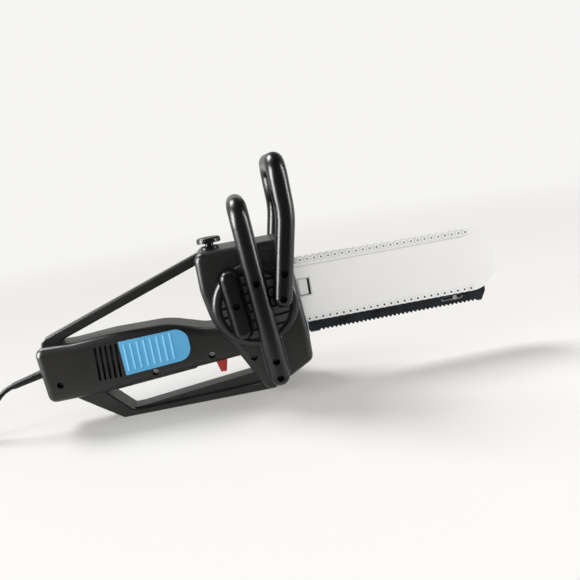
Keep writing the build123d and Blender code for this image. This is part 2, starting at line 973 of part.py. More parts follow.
def motor_can():
    front_x = motor_rear_x + motor_length - end_plate
    with BuildPart() as can:
        long_rod(motor_radius, motor_rear_x + end_plate, front_x + end_plate)
        long_rod(motor_radius - motor_wall, motor_rear_x + end_plate, front_x, Mode.SUBTRACT)
        long_rod(bush_radius, front_x, front_x + end_plate, Mode.SUBTRACT)
    return can.part


def motor_end_plate():
    """Rear plate of the motor, which carries the brushes."""
    with BuildPart() as plate:
        long_rod(motor_radius, motor_rear_x, motor_rear_x + end_plate)
        long_rod(bush_radius, motor_rear_x, motor_rear_x + end_plate, Mode.SUBTRACT)
    return plate.part


def shaft_bushes():
    """Plain bearings in both ends of the motor and in the driver guide."""
    front_x = motor_rear_x + motor_length - end_plate
    spans = [
        (motor_rear_x, motor_rear_x + end_plate),
        (front_x, front_x + end_plate),
        (bearing_rear_x, guide_rear_x - slide_gap),
    ]
    with BuildPart() as bushes:
        for rear, front in spans:
            long_rod(bush_radius, rear, front)
            long_rod(shaft_radius + fit_gap, rear, front, Mode.SUBTRACT)
    return bushes.part


def motor_magnets():
    core_x = motor_core_x()
    outer = motor_radius - motor_wall
    with BuildPart() as magnets:
        for turn in (0, 180):
            add(
                ring_sector(
                    outer,
                    outer - magnet_thickness,
                    magnet_angle,
                    core_x - core_length / 2,
                    core_x + core_length / 2,
                    turn,
                )
            )
    return magnets.part


def motor_core_x():
    return motor_rear_x + motor_length - end_plate - slide_gap - core_length / 2 - end_plate


def motor_brushes():
    """Two brushes in line across the commutator, each on a holder that stands on the end plate."""
    rear = motor_rear_x + end_plate
    outer = motor_radius - motor_wall - slide_gap
    with BuildPart() as brushes:
        for side in SIDES:
            y_inner = side * (commutator_radius + slide_gap)
            low = (rear, min(y_inner, side * outer), shaft_z - brush_width / 2)
            high = (rear + brush_length, max(y_inner, side * outer), shaft_z + brush_width / 2)
            block(low, high)
    return brushes.part


def rotor_shaft():
    with BuildPart() as shaft:
        long_rod(shaft_radius, shaft_rear_x, shaft_front_x)
    return shaft.part


def rotor_core():
    x = motor_core_x()
    with BuildPart() as core:
        with BuildSketch(Plane(origin=(x, 0, shaft_z), x_dir=(0, 1, 0), z_dir=(1, 0, 0))):
            Circle(core_radius)
            Circle(shaft_radius, mode=Mode.SUBTRACT)
            with PolarLocations(core_radius - core_slot_depth / 2, core_slots):
                Rectangle(core_slot_depth + overrun, core_slot_width, mode=Mode.SUBTRACT)
        extrude(amount=core_length / 2, both=True)
    return core.part


def commutator():
    rear = motor_rear_x + end_plate + slide_gap
    with BuildPart() as drum:
        long_rod(commutator_radius, rear, rear + commutator_length)
        long_rod(shaft_radius, rear, rear + commutator_length, Mode.SUBTRACT)
    return drum.part


def cooling_fan():
    with BuildPart() as fan:
        long_rod(fan_radius, fan_x, fan_x + fan_plate)
        long_rod(fan_hub_radius, fan_x, fan_x + fan_width)
        with BuildSketch(Plane(origin=(fan_x + fan_plate, 0, shaft_z), x_dir=(0, 1, 0), z_dir=(1, 0, 0))):
            reach = fan_radius - fan_hub_radius
            with PolarLocations(fan_hub_radius + (reach - fan_plate) / 2, fan_blades):
                Rectangle(reach, fan_blade_thickness)
        extrude(amount=fan_width - fan_plate)
        long_rod(shaft_radius, fan_x - overrun, fan_x + fan_width + overrun, Mode.SUBTRACT)
    return fan.part


def fan_shroud():
    """Tube round the fan that seats on the rear of the motor and leads the air through it."""
    front = motor_rear_x - touch_gap
    with BuildPart() as shroud:
        long_rod(motor_radius - touch_gap, shroud_rear_x, front)
        long_rod(fan_radius + shroud_gap, shroud_rear_x - overrun, front + overrun, Mode.SUBTRACT)
    return shroud.part


def worm():
    """Single-start worm, its thread midway between two wheel teeth at the wheel's lowest point."""
    root_radius = worm_pitch_radius - dedendum_share * module
    tip_radius = worm_pitch_radius + addendum_share * module
    start = Plane(origin=(worm_rear_x, 0, shaft_z), x_dir=(0, 0, 1), z_dir=(1, 0, 0))
    length = worm_pitch * worm_turns
    with BuildPart() as thread:
        with BuildLine() as line:
            Helix(worm_pitch, length, worm_pitch_radius)
        with BuildSketch(Plane(origin=(worm_pitch_radius, 0, 0), x_dir=(1, 0, 0), z_dir=(0, 1, 0))):
            base = thread_share * worm_pitch
            with BuildLine():
                Polyline(
                    (root_radius - worm_pitch_radius - touch_gap, -base),
                    (tip_radius - worm_pitch_radius, -base / 2),
                    (tip_radius - worm_pitch_radius, base / 2),
                    (root_radius - worm_pitch_radius - touch_gap, base),
                    close=True,
                )
            make_face()
        sweep(path=line.line, is_frenet=True)
    with BuildPart() as screw_part:
        with Locations(start.location):
            add(thread.part)
        long_rod(root_radius, worm_rear_x - worm_pitch, worm_rear_x + length + worm_pitch / 2)
        far_end = worm_rear_x + length + worm_pitch
        long_rod(shaft_radius, worm_rear_x - 2 * worm_pitch, far_end, Mode.SUBTRACT)
    return screw_part.part


def worm_wheel():
    """Wheel with a tooth at its lowest point and a round cam on each face, half a turn apart."""
    tip_radius = wheel_pitch_radius + addendum_share * module
    root_radius = wheel_pitch_radius - dedendum_share * module
    with BuildPart() as wheel:
        with BuildSketch(Plane(origin=(wheel_x, 0, wheel_z), x_dir=(0, 0, -1), z_dir=(0, -1, 0))):
            Circle(root_radius)
            with PolarLocations(0, wheel_teeth):
                Polygon(
                    (root_radius - module, -tooth_root_share * worm_pitch / 2),
                    (tip_radius, -tooth_tip_share * worm_pitch / 2),
                    (tip_radius, tooth_tip_share * worm_pitch / 2),
                    (root_radius - module, tooth_root_share * worm_pitch / 2),
                    align=None,
                )
        extrude(amount=wheel_half_width, both=True)
        for side in SIDES:
            outer = side * (driver_inner + cam_width - 2 * slide_gap)
            cross_rod(wheel_x, wheel_z - side * stroke, cam_radius, 0, outer)
        cross_rod(wheel_x, wheel_z, axle_radius + fit_gap, -driver_outer - cam_width, driver_outer + cam_width,
                  Mode.SUBTRACT)
    return wheel.part


def wheel_axle():
    with BuildPart() as axle:
        cross_rod(wheel_x, wheel_z, axle_radius, -axle_half_length + touch_gap, axle_half_length - touch_gap)
    return axle.part


def blade_driver(side):
    """Cranked driver: a window round the cam, a tongue in the guide and a flange at the blade's root."""
    window_x_half = cam_radius + 2 * stroke + slide_gap
    window_z_half = cam_radius + stroke + slide_gap
    y_in = side * driver_inner
    y_out = side * driver_outer
    y_low = min(y_in, y_out)
    y_high = max(y_in, y_out)
    neck_front = wheel_x + window_x_half + driver_neck_width
    top = wheel_z + window_z_half + driver_frame
    low = wheel_z - window_z_half - driver_frame
    with BuildPart() as driver:
        block((wheel_x - window_x_half - driver_frame, y_low, low), (neck_front, y_high, top))
        block((wheel_x + window_x_half, y_low, tongue_low_z), (neck_front, y_high, low + driver_frame))
        block((wheel_x + window_x_half, y_low, tongue_low_z), (driver_front_x, y_high, tongue_top_z))
        window_low = (wheel_x - window_x_half, y_low - overrun, wheel_z - window_z_half)
        window_high = (wheel_x + window_x_half, y_high + overrun, wheel_z + window_z_half)
        block(window_low, window_high, Mode.SUBTRACT)
        inner = side * (blade_gap + blade_thickness)
        foot = (min(inner, y_out), max(inner, y_out))
        block((driver_foot_x, foot[0], tongue_low_z), (driver_front_x, foot[1], tongue_top_z))
        rim = side * flange_half_width
        block(
            (driver_front_x - flange_width, min(inner, rim), flange_low_z),
            (driver_front_x, max(inner, rim), tongue_top_z),
        )
    return driver.part


def driver_guide():
    """Fixed block that both drivers slide in, with the plain bearing for the front of the shaft."""
    half = guide_half_width()
    low_z = tongue_low_z - guide_margin
    high_z = tongue_top_z + guide_margin
    with BuildPart() as guide:
        block((guide_rear_x, -half, low_z), (guide_front_x, half, high_z))
        web = driver_inner - slide_gap
        block((bearing_rear_x, -web, tongue_low_z), (guide_front_x, web, shaft_z + shaft_radius + bearing_margin))
        for side in SIDES:
            y_in = side * (driver_inner - slide_gap)
            y_out = side * (driver_outer + slide_gap)
            block(
                (guide_rear_x - overrun, min(y_in, y_out), tongue_low_z - slide_gap),
                (guide_front_x + overrun, max(y_in, y_out), tongue_top_z + slide_gap),
                Mode.SUBTRACT,
            )
        long_rod(bush_radius, bearing_rear_x - overrun, guide_rear_x - slide_gap, Mode.SUBTRACT)
    return guide.part


def blade_outline():
    """Corners of a blade from the tang's lower rear round to its upper rear, teeth along the lower edge."""
    points = [
        (driver_foot_x, tongue_top_z - touch_gap),
        (driver_foot_x, tongue_low_z),
        (blade_root_x, tongue_low_z),
        (blade_root_x, blade_edge_z),
    ]
    x = blade_root_x + blade_heel
    tip_curve_x = blade_tip_x - blade_heel / 2
    count = int((tip_curve_x - tooth_pitch - x) // tooth_pitch)
    for _ in range(count):
        points.append((x, blade_edge_z))
        points.append((x + tooth_hook_share * tooth_pitch, blade_edge_z + tooth_depth))
        x += tooth_pitch
    points += [
        (x, blade_edge_z),
        (tip_curve_x, blade_edge_z),
        (blade_tip_x, blade_edge_z + blade_heel),
        (blade_tip_x, blade_top_z),
        (blade_root_x, blade_top_z),
        (blade_root_x, tongue_top_z - touch_gap),
    ]
    return points


def blade(side):
    inner = side * blade_gap
    with BuildPart() as cutter:
        with BuildSketch(Plane.XZ.offset(-inner)):
            with BuildLine():
                Polyline(*blade_outline(), close=True)
            make_face()
            if side == RIGHT:
                middle = (rivet_slot_rear_x + rivet_slot_front_x) / 2
                with Locations((middle, rivet_z)):
                    slot_height = 2 * (rivet_radius + slide_gap)
                    SlotOverall(rivet_slot_front_x - rivet_slot_rear_x, slot_height, mode=Mode.SUBTRACT)
        extrude(amount=-side * blade_thickness)
        if side == LEFT:
            head = blade_gap + blade_thickness + touch_gap
            cross_rod(rivet_x, rivet_z, rivet_radius, inner, -head)
            cross_rod(rivet_x, rivet_z, rivet_head_radius, -head, -head - rivet_head_height)
    return cutter.part


def bar_outline():
    corners = [
        (bar_root_x, bar_low_z),
        (bar_tip_x, bar_low_z),
        (bar_tip_x, bar_top_z - bar_taper),
        (bar_root_x, bar_top_z),
    ]
    return side_face(corners, [bar_edge, bar_low_nose, bar_top_nose, bar_edge])


def guide_bar():
    """Moulded bar with a slot underneath that the blades run in and a tenon that the body holds."""
    with BuildPart() as bar:
        extrude(bar_outline(), amount=bar_half_width, both=True)
        chamfer(bar.faces().filter_by(Axis.Y).edges(), bar_edge)
        tenon_rear = bar_root_x - tenon_length
        half = bar_half_width
        block((tenon_rear, -half, tenon_low_z), (bar_root_x + bar_edge * 2, half, tenon_top_z))
        slot = blade_gap + blade_thickness + bar_slot_gap
        low = (bar_root_x - overrun, -slot, bar_low_z - overrun)
        block(low, (bar_slot_front_x, slot, blade_top_z + 2 * touch_gap), Mode.SUBTRACT)
        for z in bar_pin_heights:
            cross_rod(bar_pin_x, z, bar_pin_radius + fit_gap, -half - overrun, half + overrun, Mode.SUBTRACT)
        for side in SIDES:
            y = side * half
            with Locations((window_x, y, window_z)):
                Box(
                    window_length + 2 * window_rim,
                    2 * window_rim_height,
                    window_height + 2 * window_rim,
                )
                Box(window_length, 2 * window_depth, window_height, mode=Mode.SUBTRACT)
            gap_x = window_x + window_length / 2 - window_gap_width / 2
            with Locations((gap_x, y, window_z)):
                Box(window_gap_width, 2 * window_gap_depth, window_height, mode=Mode.SUBTRACT)
            with Locations((window_x, y, window_sill_z)):
                Box(window_length + 2 * window_rim, 2 * window_rim_height, window_sill_height)
            add(bar_beads(side))
            with BuildSketch(Plane.XZ.offset(-side * (half + bead_height - bead_hole_depth))):
                with Locations(*bead_places()):
                    Circle(bead_hole_radius)
            extrude(amount=-side * (bead_hole_depth + overrun), mode=Mode.SUBTRACT)
            run = bar_tip_x - bar_top_nose - bar_root_x
            with Locations((bar_root_x + run / 2, y, bar_step_z)):
                Box(run, 2 * bar_step_depth, bar_step_width, mode=Mode.SUBTRACT)
    return bar.part


def bead_places():
    """Centres of the two rows of beads, as X and Z. The upper row falls a little towards the nose."""
    places = []
    for number in range(bead_count):
        x = bead_rear_x + number * bead_pitch
        places.append((x, bead_low_z))
        places.append((x, bead_high_z - bead_fall * number / (bead_count - 1)))
    return places


def bar_beads(side):
    """Round beads along both edges of one face of the bar."""
    with BuildPart() as beads:
        with BuildSketch(Plane.XZ.offset(-side * (bar_half_width - bead_height))):
            with Locations(*bead_places()):
                Circle(bead_radius)
        extrude(amount=-side * 2 * bead_height)
    return beads.part


def bar_pins():
    reach = bar_pin_half_length - touch_gap
    with BuildPart() as pins:
        for z in bar_pin_heights:
            cross_rod(bar_pin_x, z, bar_pin_radius, -reach, reach)
    return pins.part


def trigger():
    """Trigger with its hub, the arm on the return spring and the lever that works the switch."""
    half = trigger_half_width
    with BuildPart() as lever:
        cross_rod(pivot_x, pivot_z, trigger_hub_radius, -half, half)
        arm_top = pivot_z + trigger_arm_depth / 2
        low = (pivot_x, -half, arm_top - trigger_arm_depth)
        block(low, (pivot_x + trigger_arm_length, half, arm_top))
        width = trigger_lever_width / 2
        low = (pivot_x - width, -width, pivot_z)
        block(low, (pivot_x + width, width, pivot_z + trigger_lever_height))
        with BuildSketch(Plane.XZ):
            with BuildLine():
                Polyline(
                    (trigger_root_x, trigger_root_z),
                    (trigger_tip_x, trigger_tip_z),
                    (trigger_tip_x + trigger_tip_width, trigger_tip_z),
                    (trigger_root_x + trigger_root_width, trigger_root_z),
                    (pivot_x + trigger_hub_radius, pivot_z),
                    (pivot_x - trigger_hub_radius, pivot_z),
                    close=True,
                )
            make_face()
        extrude(amount=half, both=True)
        cross_rod(pivot_x, pivot_z, pin_radius + fit_gap, -half - overrun, half + overrun, Mode.SUBTRACT)
    return lever.part


def trigger_pin():
    with BuildPart() as pin:
        reach = pin_half_length - touch_gap
        cross_rod(pivot_x, pivot_z, pin_radius, -reach, reach)
    return pin.part


def coil_spring(x, low_z, high_z, radius, wire, turns):
    """Upright wire spring."""
    height = high_z - low_z - 2 * wire
    with BuildPart() as spring:
        with BuildLine() as line:
            Helix(height / turns, height, radius)
        with BuildSketch(Plane(origin=(radius, 0, 0), x_dir=(1, 0, 0), z_dir=(0, 1, 0))):
            Circle(wire)
        sweep(path=line.line, is_frenet=True)
    with BuildPart() as placed_spring:
        with Locations((x, 0, low_z + wire)):
            add(spring.part)
    return placed_spring.part


def trigger_spring_ends():
    floor = handle_bottom + handle_outline_shares[7][1] * handle_height
    front_floor = handle_bottom + handle_outline_shares[6][1] * handle_height
    share = (spring_x - handle_rear) / handle_length
    run = (share - handle_outline_shares[7][0]) / (handle_outline_shares[6][0] - handle_outline_shares[7][0])
    low = floor + run * (front_floor - floor) + wall + spring_radius * spring_lift_share
    return low, pivot_z - trigger_arm_depth / 2 - touch_gap


def trigger_spring():
    low, high = trigger_spring_ends()
    return coil_spring(spring_x, low, high, spring_radius, spring_wire, spring_turns)


def micro_switch():
    front = switch_rear_x + switch_length
    high = switch_low_z + switch_height
    half = switch_half_width
    with BuildPart() as switch:
        block((switch_rear_x, -half, switch_low_z), (front, half, high))
        plunger_z = pivot_z + trigger_lever_height - plunger_radius - touch_gap
        with Locations(Location((switch_rear_x - plunger_length / 2, 0, plunger_z), (0, 90, 0))):
            Cylinder(plunger_radius, plunger_length)
        for y in (-half / 2, half / 2):
            with Locations((front + terminal_length / 2, y, (switch_low_z + high) / 2)):
                Box(terminal_length, terminal_width, terminal_width)
    return switch.part


def lock_button():
    """Mushroom button on the top of the body, with its stem and the washer that keeps it in."""
    under_cap = button_base_z() + collar_height + button_travel
    stem_low = button_stem_z()
    with BuildPart() as button:
        upright_rod(button_x, cap_radius, under_cap, under_cap + cap_height)
        fillet(button.faces().sort_by(Axis.Z)[-1].edges(), cap_edge_radius)
        upright_rod(button_x, neck_radius, stem_low, under_cap)
        upright_rod(button_x, retainer_radius, stem_low, stem_low + retainer_height)
    return button.part


def button_base_z():
    """Height of the body's top at the button."""
    rear, front = body_outline_shares[0], body_outline_shares[1]
    run = ((button_x - body_rear) / body_length - rear[0]) / (front[0] - rear[0])
    return body_height * (rear[1] + run * (front[1] - rear[1]))


def button_stem_z():
    """Height of the stem's lower end, where the spring pushes up."""
    return button_base_z() - wall - 2 * slide_gap - retainer_height


def button_spring():
    low = shelf_top_z()
    high = button_stem_z() - touch_gap
    return coil_spring(button_x, low, high, button_spring_radius, button_spring_wire, button_spring_turns)


def button_collar():
    """Fixed round collar under the button's cap."""
    low = button_base_z()
    with BuildPart() as collar:
        upright_rod(button_x, collar_radius, low - wall / 2, low + collar_height)
        chamfer(collar.faces().sort_by(Axis.Z)[-1].edges(), collar_edge)
        upright_rod(button_x, neck_radius + slide_gap, low - overrun * 2, low + collar_height + overrun, Mode.SUBTRACT)
        add(envelope, mode=Mode.SUBTRACT)
    return largest(collar)


def rectifier_board():
    with BuildPart() as board:
        low = (board_rear_x, -board_half_width, board_z)
        block(low, (board_rear_x + board_length, board_half_width, board_z + board_thickness))
    return board.part


def board_components():
    """Bridge rectifier and two capacitors standing on the board."""
    top = board_z + board_thickness
    middle_x = board_rear_x + board_length / 2
    with BuildPart() as parts:
        with Locations((board_rear_x + bridge_length, 0, top + bridge_height / 2)):
            Box(bridge_length, 2 * bridge_length, bridge_height)
        for side in SIDES:
            y = side * (board_half_width - 2 * capacitor_radius)
            with Locations(Location((middle_x + capacitor_length / 2, y, top + capacitor_radius), (0, 90, 0))):
                Cylinder(capacitor_radius, capacitor_length)
    return parts.part


def cord_clamp():
    with BuildPart() as clamp:
        low = (clamp_rear_x, -clamp_half_width, entry_z - clamp_height / 2)
        block(low, (clamp_rear_x + clamp_length, clamp_half_width, entry_z + clamp_height / 2))
        front = clamp_rear_x + clamp_length + overrun
        long_rod(cord_radius + fit_gap, clamp_rear_x - overrun, front, Mode.SUBTRACT, entry_z)
    return clamp.part


def cord_tail():
    """End of the mains cord inside the rear block, held in the clamp."""
    with BuildPart() as tail:
        long_rod(cord_radius, boot_inner_x(), clamp_rear_x + 2 * clamp_length, z=entry_z)
    return tail.part


def boot_inner_x():
    return handle_rear + 2 * wall + boot_flange_width


def cord_boot():
    """Tapered strain relief with a flange inside the rear wall."""
    first, second = cord_points[0], cord_points[1]
    run = dist(first, second)
    back = tuple((a - b) / run for a, b in zip(first, second))
    root = tuple(a + b * boot_length for a, b in zip(first, back))
    slope = degrees(atan2(back[2], back[0]))
    middle = tuple((a + b) / 2 for a, b in zip(first, root))
    with BuildPart() as boot:
        with Locations(Location(middle, (0, 90 - slope, 0))):
            Cone(boot_end_radius, boot_root_radius, boot_length)
        long_rod(boot_root_radius, root[0], boot_inner_x(), z=entry_z)
        flange_x = boot_inner_x() - boot_flange_width
        long_rod(boot_flange_radius, flange_x, boot_inner_x(), z=entry_z)
    return boot.part


def motor_leads():
    """Two insulated wires from the board along the handle to the switch."""
    with BuildPart() as leads:
        for side in SIDES:
            points = [(x, -side * y, z) for x, y, z in wire_points]
            add(tube(points, [wire_bend_radius] * (len(points) - 2), wire_radius))
    return leads.part


def tube(points, radii, radius):
    """Round bar along straight runs joined by arcs."""
    with BuildPart() as bar:
        with BuildLine() as path:
            FilletPolyline(*points, radius=radii)
        with BuildSketch(path.line ^ 0):
            Circle(radius)
        sweep()
    return bar.part


def corner_radii(points):
    """As large an arc at each corner as its two runs allow."""
    radii = []
    for before, here, after in zip(points, points[1:], points[2:]):
        arriving = Vector(*here) - Vector(*before)
        leaving = Vector(*after) - Vector(*here)
        half_turn = radians(arriving.get_angle(leaving)) / 2
        radii.append(run_share * min(arriving.length, leaving.length) / tan(half_turn))
    return radii


def cord():
    """Free stretch of the cord from the boot down to the coil."""
    radii = corner_radii(cord_points)
    stretch = tube(cord_points, radii, cord_radius)
    with BuildLine() as path:
        FilletPolyline(*cord_points, radius=radii)
    length = sum(edge.length for edge in path.line.edges())
    expected = pi * cord_radius**2 * length
    print("cord radii", [round(radius, 1) for radius in radii])
    print("cord length", round(length, 1), "volume share", round(stretch.volume / expected, 4))
    return stretch


def coil_line():
    """Lines and arcs of the coil: in on the lower layer, up in one half turn, out on the upper layer."""
    diameter = 2 * cord_radius
    start = cord_points[-1]
    x = start[0] - diameter
    y = start[1]
    z = start[2]
    edges = [Line(start, (x, y, z))]
    radii = [coil_outer_radius - step * coil_pitch / 2 for step in range(coil_half_turns + 1)]
    climb = coil_half_turns
    order = list(range(climb + 1)) + list(range(climb - 1, 0, -1))
    for number, step in enumerate(order):
        radius = radii[step]
        way = -1 if number % 2 == 0 else 1
        rise = coil_layer if step == climb else 0
        tilt = asin(rise / (2 * radius))
        middle = (x + way * radius, y + way * radius * cos(tilt), z + rise / 2)
        end = (x, y + way * 2 * radius * cos(tilt), z + rise)
        edges.append(ThreePointArc((x, y, z), middle, end))
        y, z = end[1], end[2]
    turn = coil_lead_out
    middle = (x - turn * sin(pi / 4), y + turn * (1 - cos(pi / 4)), z)
    edges.append(ThreePointArc((x, y, z), middle, (x - turn, y + turn, z)))
    edges.append(Line((x - turn, y + turn, z), (x - turn, y + turn + diameter, z)))
    return edges


def cord_coil():
    """Coil of the length of cord that is put away, one unbroken tube."""
    edges = coil_line()
    with BuildPart() as coil:
        with BuildLine() as path:
            for edge in edges:
                add(edge)
        with BuildSketch(path.line ^ 0):
            Circle(cord_radius)
        sweep()
    length = sum(edge.length for edge in edges)
    expected = pi * cord_radius**2 * length
    print("coil length", round(length, 1), "volume share", round(coil.part.volume / expected, 4))
    print("coil least gap to itself", round(least_gap(edges), 3))
    return coil.part


def least_gap(edges):
    """Least distance between two surfaces of the coil that aren't along one another."""
    spacing = cord_radius / 2
    points = []
    for edge in edges:
        count = int(edge.length / spacing) + 1
        points += [tuple(edge @ (step / count)) for step in range(count)]
    skip = int(3 * pi * cord_radius / spacing)
    nearest = min(dist(a, b) for i, a in enumerate(points) for b in points[i + skip :])
    return nearest - 2 * cord_radius


def plug_place():
    """Where the plug starts: the end of the coil's last straight run."""
    return tuple(coil_line()[-1] @ 1)


def mains_plug():
    x, y, z = plug_place()
    with BuildPart() as plug:
        with Locations((x, y + plug_neck + plug_length / 2, z)):
            Box(plug_width, plug_length, plug_thickness)
        fillet(plug.edges(), plug_edge)
        with Locations(Location((x, y + plug_neck / 2 + plug_edge / 2, z), (-90, 0, 0))):
            Cone(plug_neck_radius, plug_neck_radius + plug_edge / 2, plug_neck + plug_edge)
    return plug.part


def plug_prongs():
    x, y, z = plug_place()
    front = y + plug_neck + plug_length
    with BuildPart() as prongs:
        for side in SIDES:
            with Locations((x + side * prong_spacing / 2, front + prong_length / 2, z)):
                Box(prong_thickness, prong_length, prong_width)
    return prongs.part


def export_all():
    for side, name in ((RIGHT, "right"), (LEFT, "left")):
        export(housing_half(side), f"housing_{name}")
        export(grip_insert(side), f"grip_insert_{name}")
        export(blade_driver(side), f"blade_driver_{name}")
        export(blade(side), f"blade_{name}")
    export(housing_screws(), "housing_screws")
    export(front_handle(), "front_handle")
    export(hand_guard(), "hand_guard")
    export(loop_screw_group(), "loop_screws")
    export(pull_handle(), "pull_handle")
    export(pull_screw(), "pull_handle_screw")
    export(lower_guard(), "lower_guard")
    export(top_strut(), "top_strut")
    export(motor_can(), "motor_can")
    export(motor_end_plate(), "motor_end_plate")
    export(motor_magnets(), "motor_magnets")
    export(motor_brushes(), "motor_brushes")
    export(rotor_shaft(), "rotor_shaft")
    export(rotor_core(), "rotor_core")
    export(commutator(), "commutator")
    export(cooling_fan(), "cooling_fan")
    export(fan_shroud(), "fan_shroud")
    export(worm(), "worm")
    export(worm_wheel(), "worm_wheel")
    export(wheel_axle(), "wheel_axle")
    export(driver_guide(), "driver_guide")
    export(guide_bar(), "guide_bar")
    export(bar_pins(), "bar_pins")
    export(trigger(), "trigger")
    export(trigger_pin(), "trigger_pin")
    export(trigger_spring(), "trigger_spring")
    export(micro_switch(), "micro_switch")
    export(lock_button(), "lock_button")
    export(button_collar(), "button_collar")
    export(button_spring(), "button_spring")
    export(shaft_bushes(), "shaft_bushes")
    export(rectifier_board(), "rectifier_board")
    export(board_components(), "board_components")
    export(cord_clamp(), "cord_clamp")
    export(cord_tail(), "cord_tail")
    export(cord_boot(), "cord_boot")
    export(motor_leads(), "motor_leads")
    export(cord(), "cord")
    export(cord_coil(), "cord_coil")
    export(mains_plug(), "mains_plug")
    export(plug_prongs(), "plug_prongs")


envelope = housing_envelope()
hollow = housing_hollow()
export_all()
print("feet of the springs", round(trigger_spring_ends()[0], 3), round(shelf_top_z(), 3))
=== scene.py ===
import json
import math

import bpy
from mathutils import Matrix, Vector


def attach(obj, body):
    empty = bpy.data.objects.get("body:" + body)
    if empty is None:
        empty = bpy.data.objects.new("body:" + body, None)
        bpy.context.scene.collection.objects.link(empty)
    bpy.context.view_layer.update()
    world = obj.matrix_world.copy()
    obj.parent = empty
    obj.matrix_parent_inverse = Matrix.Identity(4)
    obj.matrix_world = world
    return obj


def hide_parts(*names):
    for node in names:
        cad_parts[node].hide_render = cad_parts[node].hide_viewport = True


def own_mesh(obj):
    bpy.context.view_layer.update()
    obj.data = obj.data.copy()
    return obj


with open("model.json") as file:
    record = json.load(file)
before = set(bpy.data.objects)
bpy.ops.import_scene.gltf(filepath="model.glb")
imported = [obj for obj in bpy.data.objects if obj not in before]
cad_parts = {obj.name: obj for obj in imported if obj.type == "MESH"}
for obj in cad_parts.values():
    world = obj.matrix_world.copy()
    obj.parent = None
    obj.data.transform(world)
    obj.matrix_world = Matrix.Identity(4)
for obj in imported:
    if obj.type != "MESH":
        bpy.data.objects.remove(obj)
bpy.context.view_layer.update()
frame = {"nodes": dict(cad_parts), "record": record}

# Sizes are in metres, in the object's own frame: X along the blades, Z up, the pull handle at negative Y.

# Camera of the photograph
CAMERA_PLACE = (0.065007, -0.624983, 0.228777)
CAMERA_RIGHT = (0.98082, -0.10486, -0.16430)
CAMERA_UP = (0.18178, 0.18810, 0.96518)
CAMERA_BACK = (-0.07030, -0.97654, 0.20356)
CAMERA_LENS = 37.86

# Sun: broad, from behind and above on the left
SUN_POWER = 2.6
SUN_FROM = (-0.52, 0.58, 0.92)
SUN_SPREAD = 24

# Softboxes: name, place, aim, width, height, power, lights matt surfaces, shows in reflections
AT_BODY = (0.02, 0.0, 0.12)
AT_BOSS = (0.10, 0.0, 0.12)
AT_BAR_ROOT = (0.12, 0.0, 0.10)
LAMPS = [
    ("left_box", (-1.15, -0.42, 0.50), AT_BODY, 0.40, 1.00, 7.0, True, True),
    ("left_gloss", (-1.20, -0.22, 0.50), AT_BODY, 0.60, 1.10, 52.0, False, True),
    ("right_strip", (1.10, -0.30, 0.45), AT_BOSS, 0.16, 1.00, 3.0, True, True),
    ("right_gloss", (1.15, -0.25, 0.45), AT_BOSS, 0.18, 1.00, 12.0, False, True),
    ("front_fill", (0.20, -1.80, 0.50), AT_BAR_ROOT, 1.40, 0.50, 11.0, True, False),
    ("front_gloss", (0.20, -1.80, 0.50), AT_BAR_ROOT, 1.40, 0.50, 3.0, False, True),
]

# Surrounding: plain white to the eye, and for reflections dark in front, white behind, fading upwards
WHITE = (0.922, 0.913, 0.887, 1)
AMBIENT = 0.28
AMBIENT_TINT = (1.0, 0.985, 0.96, 1)
DARK_ROOM = 0.05
MIRROR_BEHIND = 0.65
MIRROR_TURN = (0.05, 0.60)
MIRROR_ABOVE = 0.15
MIRROR_FADE = (0.30, 0.75)

# Paper: how it glows near the knife, and where it fades into the white or into the dark room
PAPER_COLOUR = (0.80, 0.79, 0.775, 1)
PAPER_SIZE = 24
PAPER_GLOW = 0.20
PAPER_FADE = (0.45, 2.2)
PAPER_ROOM_EDGE = (-0.32, -0.08)

# Bar: bead rows, window and step line, and how much painted shade lies in them and how wide
BEAD_REAR_X = 0.1252
BEAD_PITCH = 0.0074
BEAD_COUNT = 25
BEAD_EDGE_RADIUS = 0.0034
BEAD_HOLE_RADIUS = 0.0009
BEAD_LOW_Z = 0.06515
BEAD_HIGH_Z = 0.1286
BEAD_FALL = 0.0023
ROW_MARGIN = 0.010
# Painted shade in the bead holes and round the bead edges: strength by row, and width
HOLE_SHADE_LOW_ROW = 1.0
HOLE_SHADE_HIGH_ROW = 0.7
EDGE_SHADE_LOW_ROW = 0.10
EDGE_SHADE_HIGH_ROW = 0.28
EDGE_SHADE_WIDTH = 0.0007
WINDOW_CENTRE = (0.1253, 0.0997)
WINDOW_HALF = (0.0057, 0.0086)
WINDOW_RIM = 0.0012
WINDOW_GAP_WIDTH = 0.0022
WINDOW_GAP_FLOOR_Y = 0.0018
WINDOW_GAP_TOP_Y = 0.0026
# Painted shade along the window frame's inner and outer edges, and how wide
WINDOW_INNER_SHADE = 0.80
WINDOW_INNER_WIDTH = 0.0008
WINDOW_OUTER_SHADE = 0.40
WINDOW_OUTER_WIDTH = 0.0006
STEP_LINE_Z = 0.1220
STEP_FADE_X = 0.2993
STEP_END_X = 0.3013
# Painted shade along the step line's groove, and how wide
STEP_SHADE = 0.35
STEP_SHADE_WIDTH = 0.0008

# Blades: worn tooth tips and the painted highlight round the rivet's slot
TOOTH_TIP_Z = 0.0494
TOOTH_WEAR_HEIGHT = 0.0016
SLOT_REAR_X = 0.2721
SLOT_FRONT_X = 0.2909
RIVET_Z = 0.0580
RIVET_FACE_Y = -0.00108
SLOT_HIGHLIGHT_RADIUS = 0.0019
SLOT_HIGHLIGHT_WIDTH = 0.0011
SLOT_HIGHLIGHT_FADE_Z = (0.0576, 0.0592)
SLOT_HIGHLIGHT_LEFT_ABOVE = 0.12
SCRATCH_STRETCH = (0.15, 1, 1)
SCRATCH_SCALE = 900.0
SCRATCH_EDGES = (0.35, 0.62)

# Screws of the handle's grip that get a lighter colour: in front of this X and nearer the middle than this Y
HANDLE_SCREW_Y = 0.0255
GRIP_REAR_X = -0.1210
